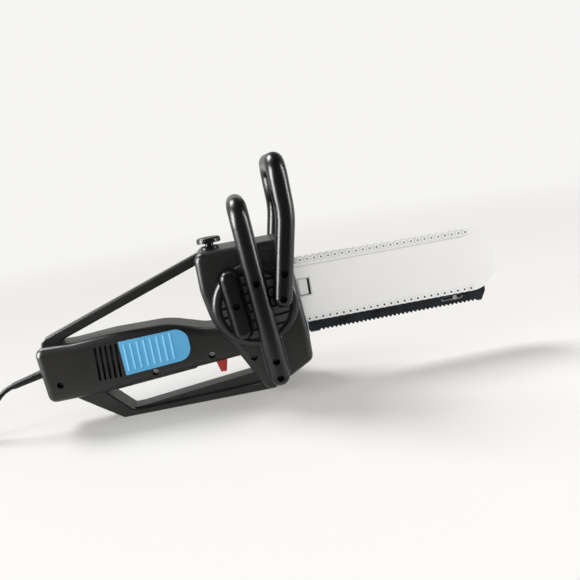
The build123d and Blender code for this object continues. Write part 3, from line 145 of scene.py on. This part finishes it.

# Painted highlights and painted shade on both sides within a circle: name, finish, centre, radius, Y of the
# face, the depths below it where the mark starts and where it is full, and colour
BOSS_CENTRE = (0.0715, 0.0980)
SLAT_FACE_Y = 0.0417
INSERT_CENTRE = (-0.0357, 0.0658)
RIB_FACE_Y = 0.0235
FACE_MARKS = [
    # Lighter slat faces: painted highlight
    ("slat_painted_highlight", "housing_black", BOSS_CENTRE, 0.0335,
     SLAT_FACE_Y, (0.0007, 0.0001), (0.046, 0.0435, 0.041)),
    # Dark gaps deep in the slat recess: painted shade
    ("recess_painted_shade", "housing_black", BOSS_CENTRE, 0.0360,
     SLAT_FACE_Y, (0.0008, 0.0014), (0.0030, 0.0028, 0.0027)),
    # Lighter tops of the insert's ribs: painted highlight
    ("rib_painted_highlight", "insert_blue", INSERT_CENTRE, 0.0600,
     RIB_FACE_Y, (0.0006, 0.0001), (0.230, 0.640, 0.940)),
]
FACE_MARK_FADE = 0.0005

# Moulded plastic and ground metal: stretch and scale of their noise, and the values it changes between
HANDLING_STRETCH = (1, 1, 3)
HANDLING_SCALE = 95.0
PATCH_EDGES = (0.35, 0.65)
DULL_EDGES = (0.75, 1.25)
STREAK_STRETCH = (0.03, 1, 1)
CLOUD_SCALE = 40.0
STREAK_EDGES = (0.12, 0.42)

# Mains cord from the boot down to the table
CORD_RADIUS = 0.0027
CORD_POINTS = [
    (-0.1880, 0.0, 0.05200),
    (-0.1982, 0.0, 0.04960),
    (-0.2130, 0.0, 0.03500),
    (-0.2260, 0.0, 0.01950),
    (-0.2385, 0.0, 0.00275),
    (-0.2570, 0.0, 0.00275),
]

# Put-away coil: a layer that winds inwards, half a turn that climbs, and a layer that winds outwards
COIL_X = -0.2624
COIL_PITCH = 0.0062
COIL_LOW_Z = 0.00275
COIL_LAYER = 0.0060
COIL_OUTER_RADIUS = 0.04305
COIL_INNER_RADIUS = 0.01825
LOW_HALF_TURNS = 8
CLIMB_CENTRE_Y = -0.04123
CLIMB_RADIUS = 0.01643
HIGH_CENTRE_Y = -0.03940
HIGH_HALF_TURNS = 7
POINTS_PER_HALF_TURN = 8

# Bend that leads from the coil to the plug, as distances behind the coil's axis and to the left
LEAD_OUT_BEND = [
    (0.0, 0.0005),
    (0.01134, 0.0006),
    (0.02376, 0.00324),
    (0.0270, 0.01566),
    (0.0270, 0.0324),
]

# Springs: node, joint that presses it, foot that stays, share of its length left when fully pressed
SPRINGS = [
    ("button_spring", "button_press", (0.0363, 0.0, 0.13940), 0.72),
    ("trigger_spring", "trigger_pull", (0.0425, 0.0, 0.04575), 0.42),
]


# Node helpers

def add_node(tree, kind, links=(), **settings):
    """Node with its settings made and its inputs filled: an input takes a socket or a value."""
    node = tree.nodes.new(kind)
    for name, value in settings.items():
        setattr(node, name, value)
    for place, source in links:
        socket = node.inputs[place]
        if isinstance(source, bpy.types.NodeSocket):
            tree.links.new(source, socket)
        else:
            socket.default_value = source
    return node


def maths(tree, operation, first, second=0.0):
    return add_node(tree, "ShaderNodeMath", [(0, first), (1, second)], operation=operation).outputs[0]


def difference(tree, first, second):
    return maths(tree, "SUBTRACT", first, second)


def size_of(tree, value):
    """The value without its sign."""
    return maths(tree, "ABSOLUTE", value)


def highest(tree, *values):
    total = values[0]
    for value in values[1:]:
        total = maths(tree, "MAXIMUM", total, value)
    return total


def product(tree, *values):
    total = values[0]
    for value in values[1:]:
        total = maths(tree, "MULTIPLY", total, value)
    return total


def distance(tree, first, second):
    squares = maths(tree, "ADD", maths(tree, "POWER", first, 2.0), maths(tree, "POWER", second, 2.0))
    return maths(tree, "SQRT", squares)


def change(tree, value, start, stop, low=0.0, high=1.0, curve="LINEAR"):
    """Goes from low to high as the value goes from start to stop."""
    node = add_node(
        tree, "ShaderNodeMapRange",
        [("Value", value), ("From Min", start), ("From Max", stop), ("To Min", low), ("To Max", high)],
        interpolation_type=curve,
    )
    return node.outputs[0]


def ramp(tree, value, start, stop, low=1.0, high=0.0):
    """Smooth step from low to high as the value goes from start to stop."""
    return change(tree, value, start, stop, low, high, curve="SMOOTHSTEP")


def near(tree, value, centre, reach):
    """1 where the value is at the centre, falling to 0 a reach away from it."""
    return ramp(tree, size_of(tree, difference(tree, value, centre)), 0.0, reach)


def object_points(tree, stretch=(1, 1, 1)):
    where = tree.nodes.new("ShaderNodeTexCoord")
    mapping = add_node(tree, "ShaderNodeMapping", [("Vector", where.outputs["Object"]), ("Scale", stretch)])
    return mapping.outputs["Vector"]


def object_axes(tree):
    split = add_node(tree, "ShaderNodeSeparateXYZ", [(0, object_points(tree))])
    return split.outputs[0], split.outputs[1], split.outputs[2]


def noise(tree, points, scale, detail, roughness=0.5):
    node = add_node(
        tree, "ShaderNodeTexNoise",
        [("Vector", points), ("Scale", scale), ("Detail", detail), ("Roughness", roughness)],
    )
    return node.outputs["Fac"]


def blend(tree, mask, first, second):
    """First colour, and the second where the mask is 1."""
    node = add_node(tree, "ShaderNodeMix", [(0, mask), (6, first), (7, second)], data_type="RGBA")
    return node.outputs[2]


def open_group(name, sockets, results):
    """New shader group with named inputs and outputs."""
    group = bpy.data.node_groups.new(name, "ShaderNodeTree")
    for label, kind, value in sockets:
        socket = group.interface.new_socket(label, in_out="INPUT", socket_type=kind)
        socket.default_value = value
    for label, kind in results:
        group.interface.new_socket(label, in_out="OUTPUT", socket_type=kind)
    entry = group.nodes.new("NodeGroupInput")
    leave = group.nodes.new("NodeGroupOutput")
    return group, entry, leave


# Camera, lights and backdrop

def place_camera():
    bpy.ops.object.camera_add()
    camera = bpy.context.object
    camera.name = "photo_camera"
    columns = [Vector(CAMERA_RIGHT), Vector(CAMERA_UP), Vector(CAMERA_BACK)]
    turn = Matrix([list(column) for column in columns]).transposed().to_4x4()
    camera.matrix_world = Matrix.Translation(CAMERA_PLACE) @ turn
    camera.data.lens = CAMERA_LENS
    camera.data.clip_start = 0.01
    bpy.context.scene.camera = camera


def sun_light():
    """Broad sun that lays the soft shadow to the front right."""
    bpy.ops.object.light_add(type="SUN", location=(0, 0, 1))
    lamp = bpy.context.object
    lamp.name = "window_light"
    lamp.data.energy = SUN_POWER
    lamp.data.angle = math.radians(SUN_SPREAD)
    lamp.rotation_euler = Vector(SUN_FROM).to_track_quat("Z", "Y").to_euler()


def soft_light(name, place, aim, width, height, power, diffuse, gloss):
    """Softbox that is turned to its aim."""
    bpy.ops.object.light_add(type="AREA", location=place)
    lamp = bpy.context.object
    lamp.name = name
    lamp.data.shape = "RECTANGLE"
    lamp.data.size = width
    lamp.data.size_y = height
    lamp.data.energy = power
    lamp.visible_diffuse = diffuse
    lamp.visible_glossy = gloss
    lamp.rotation_euler = (Vector(place) - Vector(aim)).to_track_quat("Z", "Y").to_euler()


def light_path(tree, *kinds):
    """Value that is 1 for the named kinds of ray and 0 for the rest."""
    path = tree.nodes.new("ShaderNodeLightPath")
    return highest(tree, *[path.outputs[kind] for kind in kinds])


def shining(tree, kind, colour, strength=1.0):
    """Shader that shines by itself: a world's background or a glowing surface."""
    return add_node(tree, kind, [("Color", colour), ("Strength", strength)]).outputs[0]


def mix_shaders(tree, share, first, second):
    """First shader, and the second where the share is 1."""
    return add_node(tree, "ShaderNodeMixShader", [("Fac", share), (1, first), (2, second)]).outputs[0]


def light_world():
    """White to the eye, dimmer as light, and for reflections white behind but dark above and in front."""
    world = bpy.data.worlds.new("studio")
    bpy.context.scene.world = world
    world.use_nodes = True
    tree = world.node_tree
    tree.nodes.clear()
    where = tree.nodes.new("ShaderNodeTexCoord")
    axes = add_node(tree, "ShaderNodeSeparateXYZ", [(0, where.outputs["Generated"])])
    behind = ramp(tree, axes.outputs["Y"], *MIRROR_TURN, DARK_ROOM, MIRROR_BEHIND)
    fading = ramp(tree, axes.outputs["Z"], *MIRROR_FADE, 1.0, MIRROR_ABOVE)
    dim = shining(tree, "ShaderNodeBackground", AMBIENT_TINT, AMBIENT)
    bright = shining(tree, "ShaderNodeBackground", WHITE)
    mirrored = shining(tree, "ShaderNodeBackground", WHITE, product(tree, behind, fading))
    light = mix_shaders(tree, light_path(tree, "Is Glossy Ray"), dim, mirrored)
    seen = mix_shaders(tree, light_path(tree, "Is Camera Ray", "Is Transmission Ray"), light, bright)
    output = tree.nodes.new("ShaderNodeOutputWorld")
    tree.links.new(seen, output.inputs["Surface"])


def backdrop_material():
    """Pale paper that takes the shadow, fades into the white far off, and mirrors as a dark room in front."""
    paper = bpy.data.materials.new("backdrop_paper")
    paper.use_nodes = True
    tree = paper.node_tree
    tree.nodes.clear()
    where = tree.nodes.new("ShaderNodeTexCoord")
    reach = add_node(tree, "ShaderNodeVectorMath", [(0, where.outputs["Object"])], operation="LENGTH")
    axes = add_node(tree, "ShaderNodeSeparateXYZ", [(0, where.outputs["Object"])])
    far = ramp(tree, reach.outputs["Value"], *PAPER_FADE, PAPER_GLOW, 1.0)
    in_front = ramp(tree, axes.outputs["Y"], *PAPER_ROOM_EDGE)
    matte = add_node(tree, "ShaderNodeBsdfDiffuse", [("Color", PAPER_COLOUR)]).outputs[0]
    glow = shining(tree, "ShaderNodeEmission", WHITE)
    room = shining(tree, "ShaderNodeEmission", WHITE, DARK_ROOM)
    seen = light_path(tree, "Is Camera Ray", "Is Glossy Ray", "Is Transmission Ray")
    lit = mix_shaders(tree, product(tree, seen, far), matte, glow)
    mirrored = product(tree, light_path(tree, "Is Glossy Ray"), in_front)
    output = tree.nodes.new("ShaderNodeOutputMaterial")
    tree.links.new(mix_shaders(tree, mirrored, lit, room), output.inputs["Surface"])
    return paper


def lay_backdrop():
    """Flat paper under and far around the knife."""
    bpy.ops.object.select_all(action="DESELECT")
    bpy.ops.mesh.primitive_plane_add(size=PAPER_SIZE, location=(0, 0, 0))
    sweep = bpy.context.object
    sweep.name = "paper_sweep"
    sweep.data.materials.append(backdrop_material())


# Mains cord and its put-away coil

def spiral_turn(centre_y, start_radius, end_radius, start_angle, half_turns, low_z, high_z):
    """Control points of a flat spiral. Angle 0 is the side nearest the cord, and it turns with the coil."""
    push_out = 1 / math.cos(math.pi / (2 * POINTS_PER_HALF_TURN))
    points = []
    count = half_turns * POINTS_PER_HALF_TURN
    for step in range(count):
        share = step / count
        angle = start_angle + math.pi * half_turns * share
        radius = push_out * (start_radius + (end_radius - start_radius) * share)
        z = low_z + (high_z - low_z) * share
        points.append((COIL_X - radius * math.sin(angle), centre_y + radius * math.cos(angle), z))
    return points


def coil_points():
    """Control points of the coil, from the cord's side of the lower layer to the plug."""
    low = COIL_LOW_Z
    high = low + COIL_LAYER
    outer = COIL_INNER_RADIUS + HIGH_HALF_TURNS * COIL_PITCH / 2
    points = spiral_turn(
        -COIL_OUTER_RADIUS, COIL_OUTER_RADIUS, COIL_INNER_RADIUS, 0.0, LOW_HALF_TURNS, low, low,
    )
    points += spiral_turn(CLIMB_CENTRE_Y, CLIMB_RADIUS, CLIMB_RADIUS, 0.0, 1, low, high)
    points += spiral_turn(HIGH_CENTRE_Y, COIL_INNER_RADIUS, outer, math.pi, HIGH_HALF_TURNS, high, high)
    points += [(COIL_X - behind, aside, high) for behind, aside in LEAD_OUT_BEND]
    return points


def run_cord():
    """Smooth lead from the boot over the table into its coil, in place of the two plain tubes."""
    line = bpy.data.curves.new("mains_cord_line", "CURVE")
    line.dimensions = "3D"
    line.resolution_u = 5
    line.bevel_depth = CORD_RADIUS
    line.bevel_resolution = 5
    line.use_fill_caps = True
    points = CORD_POINTS + coil_points()[1:]
    spline = line.splines.new("NURBS")
    spline.points.add(len(points) - 1)
    for point, place in zip(spline.points, points):
        point.co = (*place, 1)
    spline.order_u = 3
    spline.use_endpoint_u = True
    cord = bpy.data.objects.new("mains_lead", line)
    bpy.context.collection.objects.link(cord)
    cord.data.materials.append(FINISHES["cord_black"])
    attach(cord, "housing")
    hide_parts("cord", "cord_coil")
    return cord


# Springs

def flexed_spring(node, joint, foot, keep):
    """Copy of the spring, which stands on the housing."""
    source = frame["nodes"][node]
    spring = bpy.data.objects.new(node + "_flexed", source.data.copy())
    bpy.context.collection.objects.link(spring)
    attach(spring, "housing")
    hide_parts(node)
    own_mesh(spring)
    return spring


# Surfaces shared by the finishes

SURFACE_RESULTS = [
    ("Colour", "NodeSocketColor"),
    ("Roughness", "NodeSocketFloat"),
    ("Normal", "NodeSocketVector"),
]


def put_out_surface(group, entry, leave, tone, dullness, height, depth):
    """Fills a surface group's outputs: two colours by tone, two roughnesses by dullness, and the grain."""
    colour = blend(group, tone, entry.outputs["Colour"], entry.outputs["Second Colour"])
    smooth, dull = entry.outputs["Smooth Roughness"], entry.outputs["Dull Roughness"]
    roughness = change(group, dullness, 0.0, 1.0, smooth, dull)
    bump = add_node(group, "ShaderNodeBump", [("Height", height), ("Distance", depth), ("Strength", 1.0)])
    group.links.new(colour, leave.inputs["Colour"])
    group.links.new(roughness, leave.inputs["Roughness"])
    group.links.new(bump.outputs[0], leave.inputs["Normal"])


def moulded_group():
    """Moulded plastic: slow patches of tone and gloss, a fine spark-eroded grain and faint handling marks."""
    group, entry, leave = open_group(
        "moulded_plastic",
        [
            ("Colour", "NodeSocketColor", (0.5, 0.5, 0.5, 1)),
            ("Second Colour", "NodeSocketColor", (0.4, 0.4, 0.4, 1)),
            ("Patch Scale", "NodeSocketFloat", 12.0),
            ("Grain Scale", "NodeSocketFloat", 1800.0),
            ("Grain Depth", "NodeSocketFloat", 0.00003),
            ("Smooth Roughness", "NodeSocketFloat", 0.3),
            ("Dull Roughness", "NodeSocketFloat", 0.4),
        ],
        SURFACE_RESULTS,
    )
    points = object_points(group)
    patches = noise(group, points, entry.outputs["Patch Scale"], 3.0, 0.55)
    rubbed = noise(group, object_points(group, HANDLING_STRETCH), HANDLING_SCALE, 5.0, 0.7)
    grain = noise(group, points, entry.outputs["Grain Scale"], 2.0)
    tone = change(group, patches, *PATCH_EDGES)
    dullness = change(group, maths(group, "ADD", patches, rubbed), *DULL_EDGES)
    put_out_surface(group, entry, leave, tone, dullness, grain, entry.outputs["Grain Depth"])
    return group


def ground_group():
    """Ground or turned metal: fine streaks along X, a slow change of tone and faint scratches."""
    group, entry, leave = open_group(
        "ground_metal",
        [
            ("Colour", "NodeSocketColor", (0.5, 0.5, 0.5, 1)),
            ("Second Colour", "NodeSocketColor", (0.4, 0.4, 0.4, 1)),
            ("Streak Scale", "NodeSocketFloat", 1400.0),
            ("Streak Depth", "NodeSocketFloat", 0.00002),
            ("Smooth Roughness", "NodeSocketFloat", 0.2),
            ("Dull Roughness", "NodeSocketFloat", 0.4),
        ],
        SURFACE_RESULTS,
    )
    streaks = noise(group, object_points(group, STREAK_STRETCH), entry.outputs["Streak Scale"], 4.0, 0.6)
    cloud = noise(group, object_points(group), CLOUD_SCALE, 3.0)
    tone = change(group, product(group, streaks, cloud), *STREAK_EDGES)
    put_out_surface(group, entry, leave, tone, tone, streaks, entry.outputs["Streak Depth"])
    return group


# Masks of painted shade, painted highlights, worn places and lighter screws

def open_mask(name):
    """New shader group whose only output is a mask, with the three axes of the piece."""
    group, entry, leave = open_group(name, [], [("Mask", "NodeSocketFloat")])
    return group, leave.inputs["Mask"], object_axes(group)


def bead_painted_shade(group, x, z):
    """Painted shade in the holes of both rows of beads and round their edges."""
    along = maths(group, "DIVIDE", difference(group, x, BEAD_REAR_X), BEAD_PITCH)
    place = difference(group, maths(group, "FRACT", maths(group, "ADD", along, 0.5)), 0.5)
    aside = product(group, place, BEAD_PITCH)
    fall = product(group, along, BEAD_FALL / (BEAD_COUNT - 1))
    from_high = size_of(group, difference(group, maths(group, "ADD", z, fall), BEAD_HIGH_Z))
    from_low = size_of(group, difference(group, z, BEAD_LOW_Z))
    reach = distance(group, aside, maths(group, "MINIMUM", from_high, from_low))
    high_row = ramp(group, z, BEAD_LOW_Z + ROW_MARGIN, BEAD_HIGH_Z - ROW_MARGIN, 0.0, 1.0)
    hole = product(
        group,
        ramp(group, reach, BEAD_HOLE_RADIUS, BEAD_HOLE_RADIUS * 1.5),
        ramp(group, high_row, 0.0, 1.0, HOLE_SHADE_LOW_ROW, HOLE_SHADE_HIGH_ROW),
    )
    edge = product(
        group,
        near(group, reach, BEAD_EDGE_RADIUS, EDGE_SHADE_WIDTH),
        ramp(group, high_row, 0.0, 1.0, EDGE_SHADE_LOW_ROW, EDGE_SHADE_HIGH_ROW),
    )
    after_first = ramp(group, along, -0.5, -0.4, 0.0, 1.0)
    before_last = ramp(group, along, BEAD_COUNT - 0.60, BEAD_COUNT - 0.50)
    return product(group, highest(group, hole, edge), after_first, before_last)


def window_painted_shade(group, x, y, z):
    """Painted shade along both edges of the window's frame and in the groove at its front."""
    across = size_of(group, difference(group, x, WINDOW_CENTRE[0]))
    up = size_of(group, difference(group, z, WINDOW_CENTRE[1]))
    outside = highest(
        group,
        difference(group, across, WINDOW_HALF[0]),
        difference(group, up, WINDOW_HALF[1]),
    )
    inner_line = product(group, near(group, outside, 0.0, WINDOW_INNER_WIDTH), WINDOW_INNER_SHADE)
    outer_line = product(group, near(group, outside, WINDOW_RIM, WINDOW_OUTER_WIDTH), WINDOW_OUTER_SHADE)
    gap_start = WINDOW_CENTRE[0] + WINDOW_HALF[0] - WINDOW_GAP_WIDTH
    in_gap = product(
        group,
        ramp(group, x, gap_start - 0.0001, gap_start, 0.0, 1.0),
        ramp(group, outside, 0.0, 0.0002),
        ramp(group, size_of(group, y), WINDOW_GAP_FLOOR_Y, WINDOW_GAP_TOP_Y),
    )
    return highest(group, inner_line, outer_line, in_gap)


def bar_painted_shade_group():
    """Mask of painted shade on the bar: beads, window and the line of its stepped edge."""
    group, mask, (x, y, z) = open_mask("bar_painted_shade")
    # Painted shade along the groove of the stepped edge, ending before the nose
    on_line = near(group, z, STEP_LINE_Z, STEP_SHADE_WIDTH)
    step_line = product(group, on_line, ramp(group, x, STEP_FADE_X, STEP_END_X), STEP_SHADE)
    beads = bead_painted_shade(group, x, z)
    group.links.new(highest(group, beads, window_painted_shade(group, x, y, z), step_line), mask)
    return group


def face_group(name, centre, radius, face_y, depths):
    """Mask of what lies at these depths below both side faces, within a circle."""
    group, mask, (x, y, z) = open_mask(name)
    reach = distance(group, difference(group, x, centre[0]), difference(group, z, centre[1]))
    deep = ramp(group, size_of(group, y), face_y - depths[0], face_y - depths[1], 0.0, 1.0)
    group.links.new(product(group, deep, ramp(group, reach, radius, radius + FACE_MARK_FADE)), mask)
    return group


def lighter_grip_screws_group():
    """Mask of the screws in the handle's grip, which get a lighter colour. The others stay dark."""
    group, mask, (x, y, z) = open_mask("lighter_grip_screws")
    in_handle = ramp(group, size_of(group, y), HANDLE_SCREW_Y, HANDLE_SCREW_Y + 0.001)
    gripped = ramp(group, x, GRIP_REAR_X, GRIP_REAR_X + 0.002, 0.0, 1.0)
    group.links.new(product(group, in_handle, gripped), mask)
    return group


def blade_wear_and_highlight_group():
    """Mask of the blades' bright places: worn tooth tips, a painted highlight round the rivet's slot, and the
    rivet.
    """
    group, mask, (x, y, z) = open_mask("blade_wear_and_highlight")
    scratches = noise(group, object_points(group, SCRATCH_STRETCH), SCRATCH_SCALE, 3.0, 0.6)
    patchy = ramp(group, scratches, *SCRATCH_EDGES, 0.0, 1.0)
    tips = product(group, ramp(group, z, TOOTH_TIP_Z, TOOTH_TIP_Z + TOOTH_WEAR_HEIGHT), patchy)
    aside = highest(group, difference(group, SLOT_REAR_X, x), difference(group, x, SLOT_FRONT_X), 0.0)
    reach = distance(group, aside, difference(group, z, RIVET_Z))
    # Painted highlight round the rivet's slot, fainter above it
    slot_highlight = product(
        group,
        near(group, reach, SLOT_HIGHLIGHT_RADIUS, SLOT_HIGHLIGHT_WIDTH),
        ramp(group, patchy, 0.0, 1.0, 0.35, 1.0),
        ramp(group, z, *SLOT_HIGHLIGHT_FADE_Z, 1.0, SLOT_HIGHLIGHT_LEFT_ABOVE),
    )
    rivet = ramp(group, y, RIVET_FACE_Y - 0.00002, RIVET_FACE_Y)
    group.links.new(highest(group, tips, slot_highlight, rivet), mask)
    return group


# Finishes

def rgb(red, green, blue):
    return (red, green, blue, 1.0)


def finish(name, group, values, shader_values):
    """Material whose surface comes from a shared group and whose constants sit on the shader."""
    material = bpy.data.materials.new(name)
    material.use_nodes = True
    tree = material.node_tree
    shader = tree.nodes["Principled BSDF"]
    surface = tree.nodes.new("ShaderNodeGroup")
    surface.node_tree = group
    for label, value in values.items():
        surface.inputs[label].default_value = value
    tree.links.new(surface.outputs["Colour"], shader.inputs["Base Color"])
    tree.links.new(surface.outputs["Roughness"], shader.inputs["Roughness"])
    tree.links.new(surface.outputs["Normal"], shader.inputs["Normal"])
    for label, value in shader_values.items():
        shader.inputs[label].default_value = value
    return material


def add_marks(material, mask_group, colour):
    """Lays a second colour over a finish where a mask group says."""
    tree = material.node_tree
    base = tree.nodes["Principled BSDF"].inputs["Base Color"]
    mask = tree.nodes.new("ShaderNodeGroup")
    mask.node_tree = mask_group
    tree.links.new(blend(tree, mask.outputs["Mask"], base.links[0].from_socket, colour), base)


def make_finishes():
    plastic = moulded_group()
    metal = ground_group()
    finishes = {}

    def moulded(name, colour, second, roughness, patch=12.0, grain=1800.0, depth=0.00003, specular=0.5):
        values = {
            "Colour": colour, "Second Colour": second, "Patch Scale": patch, "Grain Scale": grain,
            "Grain Depth": depth, "Smooth Roughness": roughness[0], "Dull Roughness": roughness[1],
        }
        finishes[name] = finish(name, plastic, values, {"Specular IOR Level": specular})

    def ground(name, colour, second, roughness):
        values = {
            "Colour": colour, "Second Colour": second,
            "Smooth Roughness": roughness[0], "Dull Roughness": roughness[1],
        }
        finishes[name] = finish(name, metal, values, {"Metallic": 1.0})

    moulded("housing_black", rgb(0.0120, 0.0113, 0.0107), rgb(0.0170, 0.0160, 0.0151), (0.28, 0.37),
            specular=0.47)
    moulded("handle_black", rgb(0.0040, 0.0040, 0.0041), rgb(0.0060, 0.0059, 0.0059), (0.27, 0.33),
            grain=900.0, depth=0.000004, specular=0.45)
    moulded("insert_blue", rgb(0.070, 0.355, 0.630), rgb(0.098, 0.405, 0.680), (0.42, 0.55), grain=2600.0)
    moulded("trigger_red", rgb(0.420, 0.018, 0.011), rgb(0.470, 0.025, 0.015), (0.28, 0.40))
    moulded("bar_grey", rgb(0.825, 0.822, 0.820), rgb(0.856, 0.853, 0.848), (0.38, 0.50), patch=9.0)
    moulded("driver_white", rgb(0.640, 0.760, 0.900), rgb(0.720, 0.820, 0.930), (0.34, 0.46))
    moulded("guide_plastic", rgb(0.780, 0.775, 0.750), rgb(0.820, 0.815, 0.790), (0.40, 0.52))
    moulded("magnet", rgb(0.060, 0.060, 0.063), rgb(0.085, 0.085, 0.088), (0.50, 0.65))
    moulded("board_green", rgb(0.040, 0.230, 0.100), rgb(0.060, 0.290, 0.130), (0.25, 0.35))
    moulded("component_black", rgb(0.012, 0.012, 0.013), rgb(0.018, 0.018, 0.019), (0.45, 0.60))
    moulded("wire_black", rgb(0.018, 0.017, 0.017), rgb(0.026, 0.025, 0.025), (0.35, 0.45))
    moulded("cord_black", rgb(0.006, 0.006, 0.0063), rgb(0.010, 0.010, 0.0104), (0.24, 0.34),
            patch=60.0, specular=0.22)
    ground("blade_steel", rgb(0.026, 0.031, 0.037), rgb(0.066, 0.073, 0.081), (0.26, 0.38))
    ground("screw_steel", rgb(0.040, 0.040, 0.041), rgb(0.075, 0.075, 0.076), (0.20, 0.32))
    ground("motor_steel", rgb(0.470, 0.475, 0.480), rgb(0.560, 0.560, 0.565), (0.25, 0.40))
    ground("brass", rgb(0.620, 0.470, 0.190), rgb(0.700, 0.550, 0.250), (0.22, 0.35))
    ground("copper", rgb(0.600, 0.290, 0.140), rgb(0.700, 0.370, 0.190), (0.25, 0.38))
    ground("prong_brass", rgb(0.680, 0.580, 0.330), rgb(0.740, 0.640, 0.390), (0.20, 0.32))
    ground("spring_steel", rgb(0.520, 0.520, 0.530), rgb(0.600, 0.600, 0.610), (0.22, 0.36))
    return finishes


def lay_painted_light_shade_and_wear():
    """Lays marks over the finishes: painted shade on the bar, worn tips and a painted highlight on the
    blades, a lighter colour on the grip's screws, painted highlights and shade in the bosses and painted
    highlights on the inserts.
    """
    # Painted shade in the bar's bead holes, round the beads, in the window's edges and groove, and along the
    # step line
    add_marks(FINISHES["bar_grey"], bar_painted_shade_group(), rgb(0.022, 0.021, 0.020))
    # Bright steel on worn tooth tips and the rivet, and a painted highlight round the rivet's slot
    add_marks(FINISHES["blade_steel"], blade_wear_and_highlight_group(), rgb(0.620, 0.620, 0.610))
    # Lighter colour on the screws in the handle's grip
    add_marks(FINISHES["screw_steel"], lighter_grip_screws_group(), rgb(0.300, 0.298, 0.294))
    for name, finish_name, centre, radius, face_y, depths, colour in FACE_MARKS:
        add_marks(FINISHES[finish_name], face_group(name, centre, radius, face_y, depths), rgb(*colour))


def dress_nodes():
    """Gives every carried-over node the finish of its material slot."""
    for row in frame["record"]["subparts"]:
        node = frame["nodes"].get(row["node"])
        if node is None:
            continue
        node.data.materials.clear()
        node.data.materials.append(FINISHES[row["material_slot"]])


FINISHES = make_finishes()
lay_painted_light_shade_and_wear()
dress_nodes()
place_camera()
sun_light()
for lamp_row in LAMPS:
    soft_light(*lamp_row)
light_world()
lay_backdrop()
run_cord()
for spring_row in SPRINGS:
    flexed_spring(*spring_row)

scene = bpy.context.scene
scene.view_settings.view_transform = "Standard"
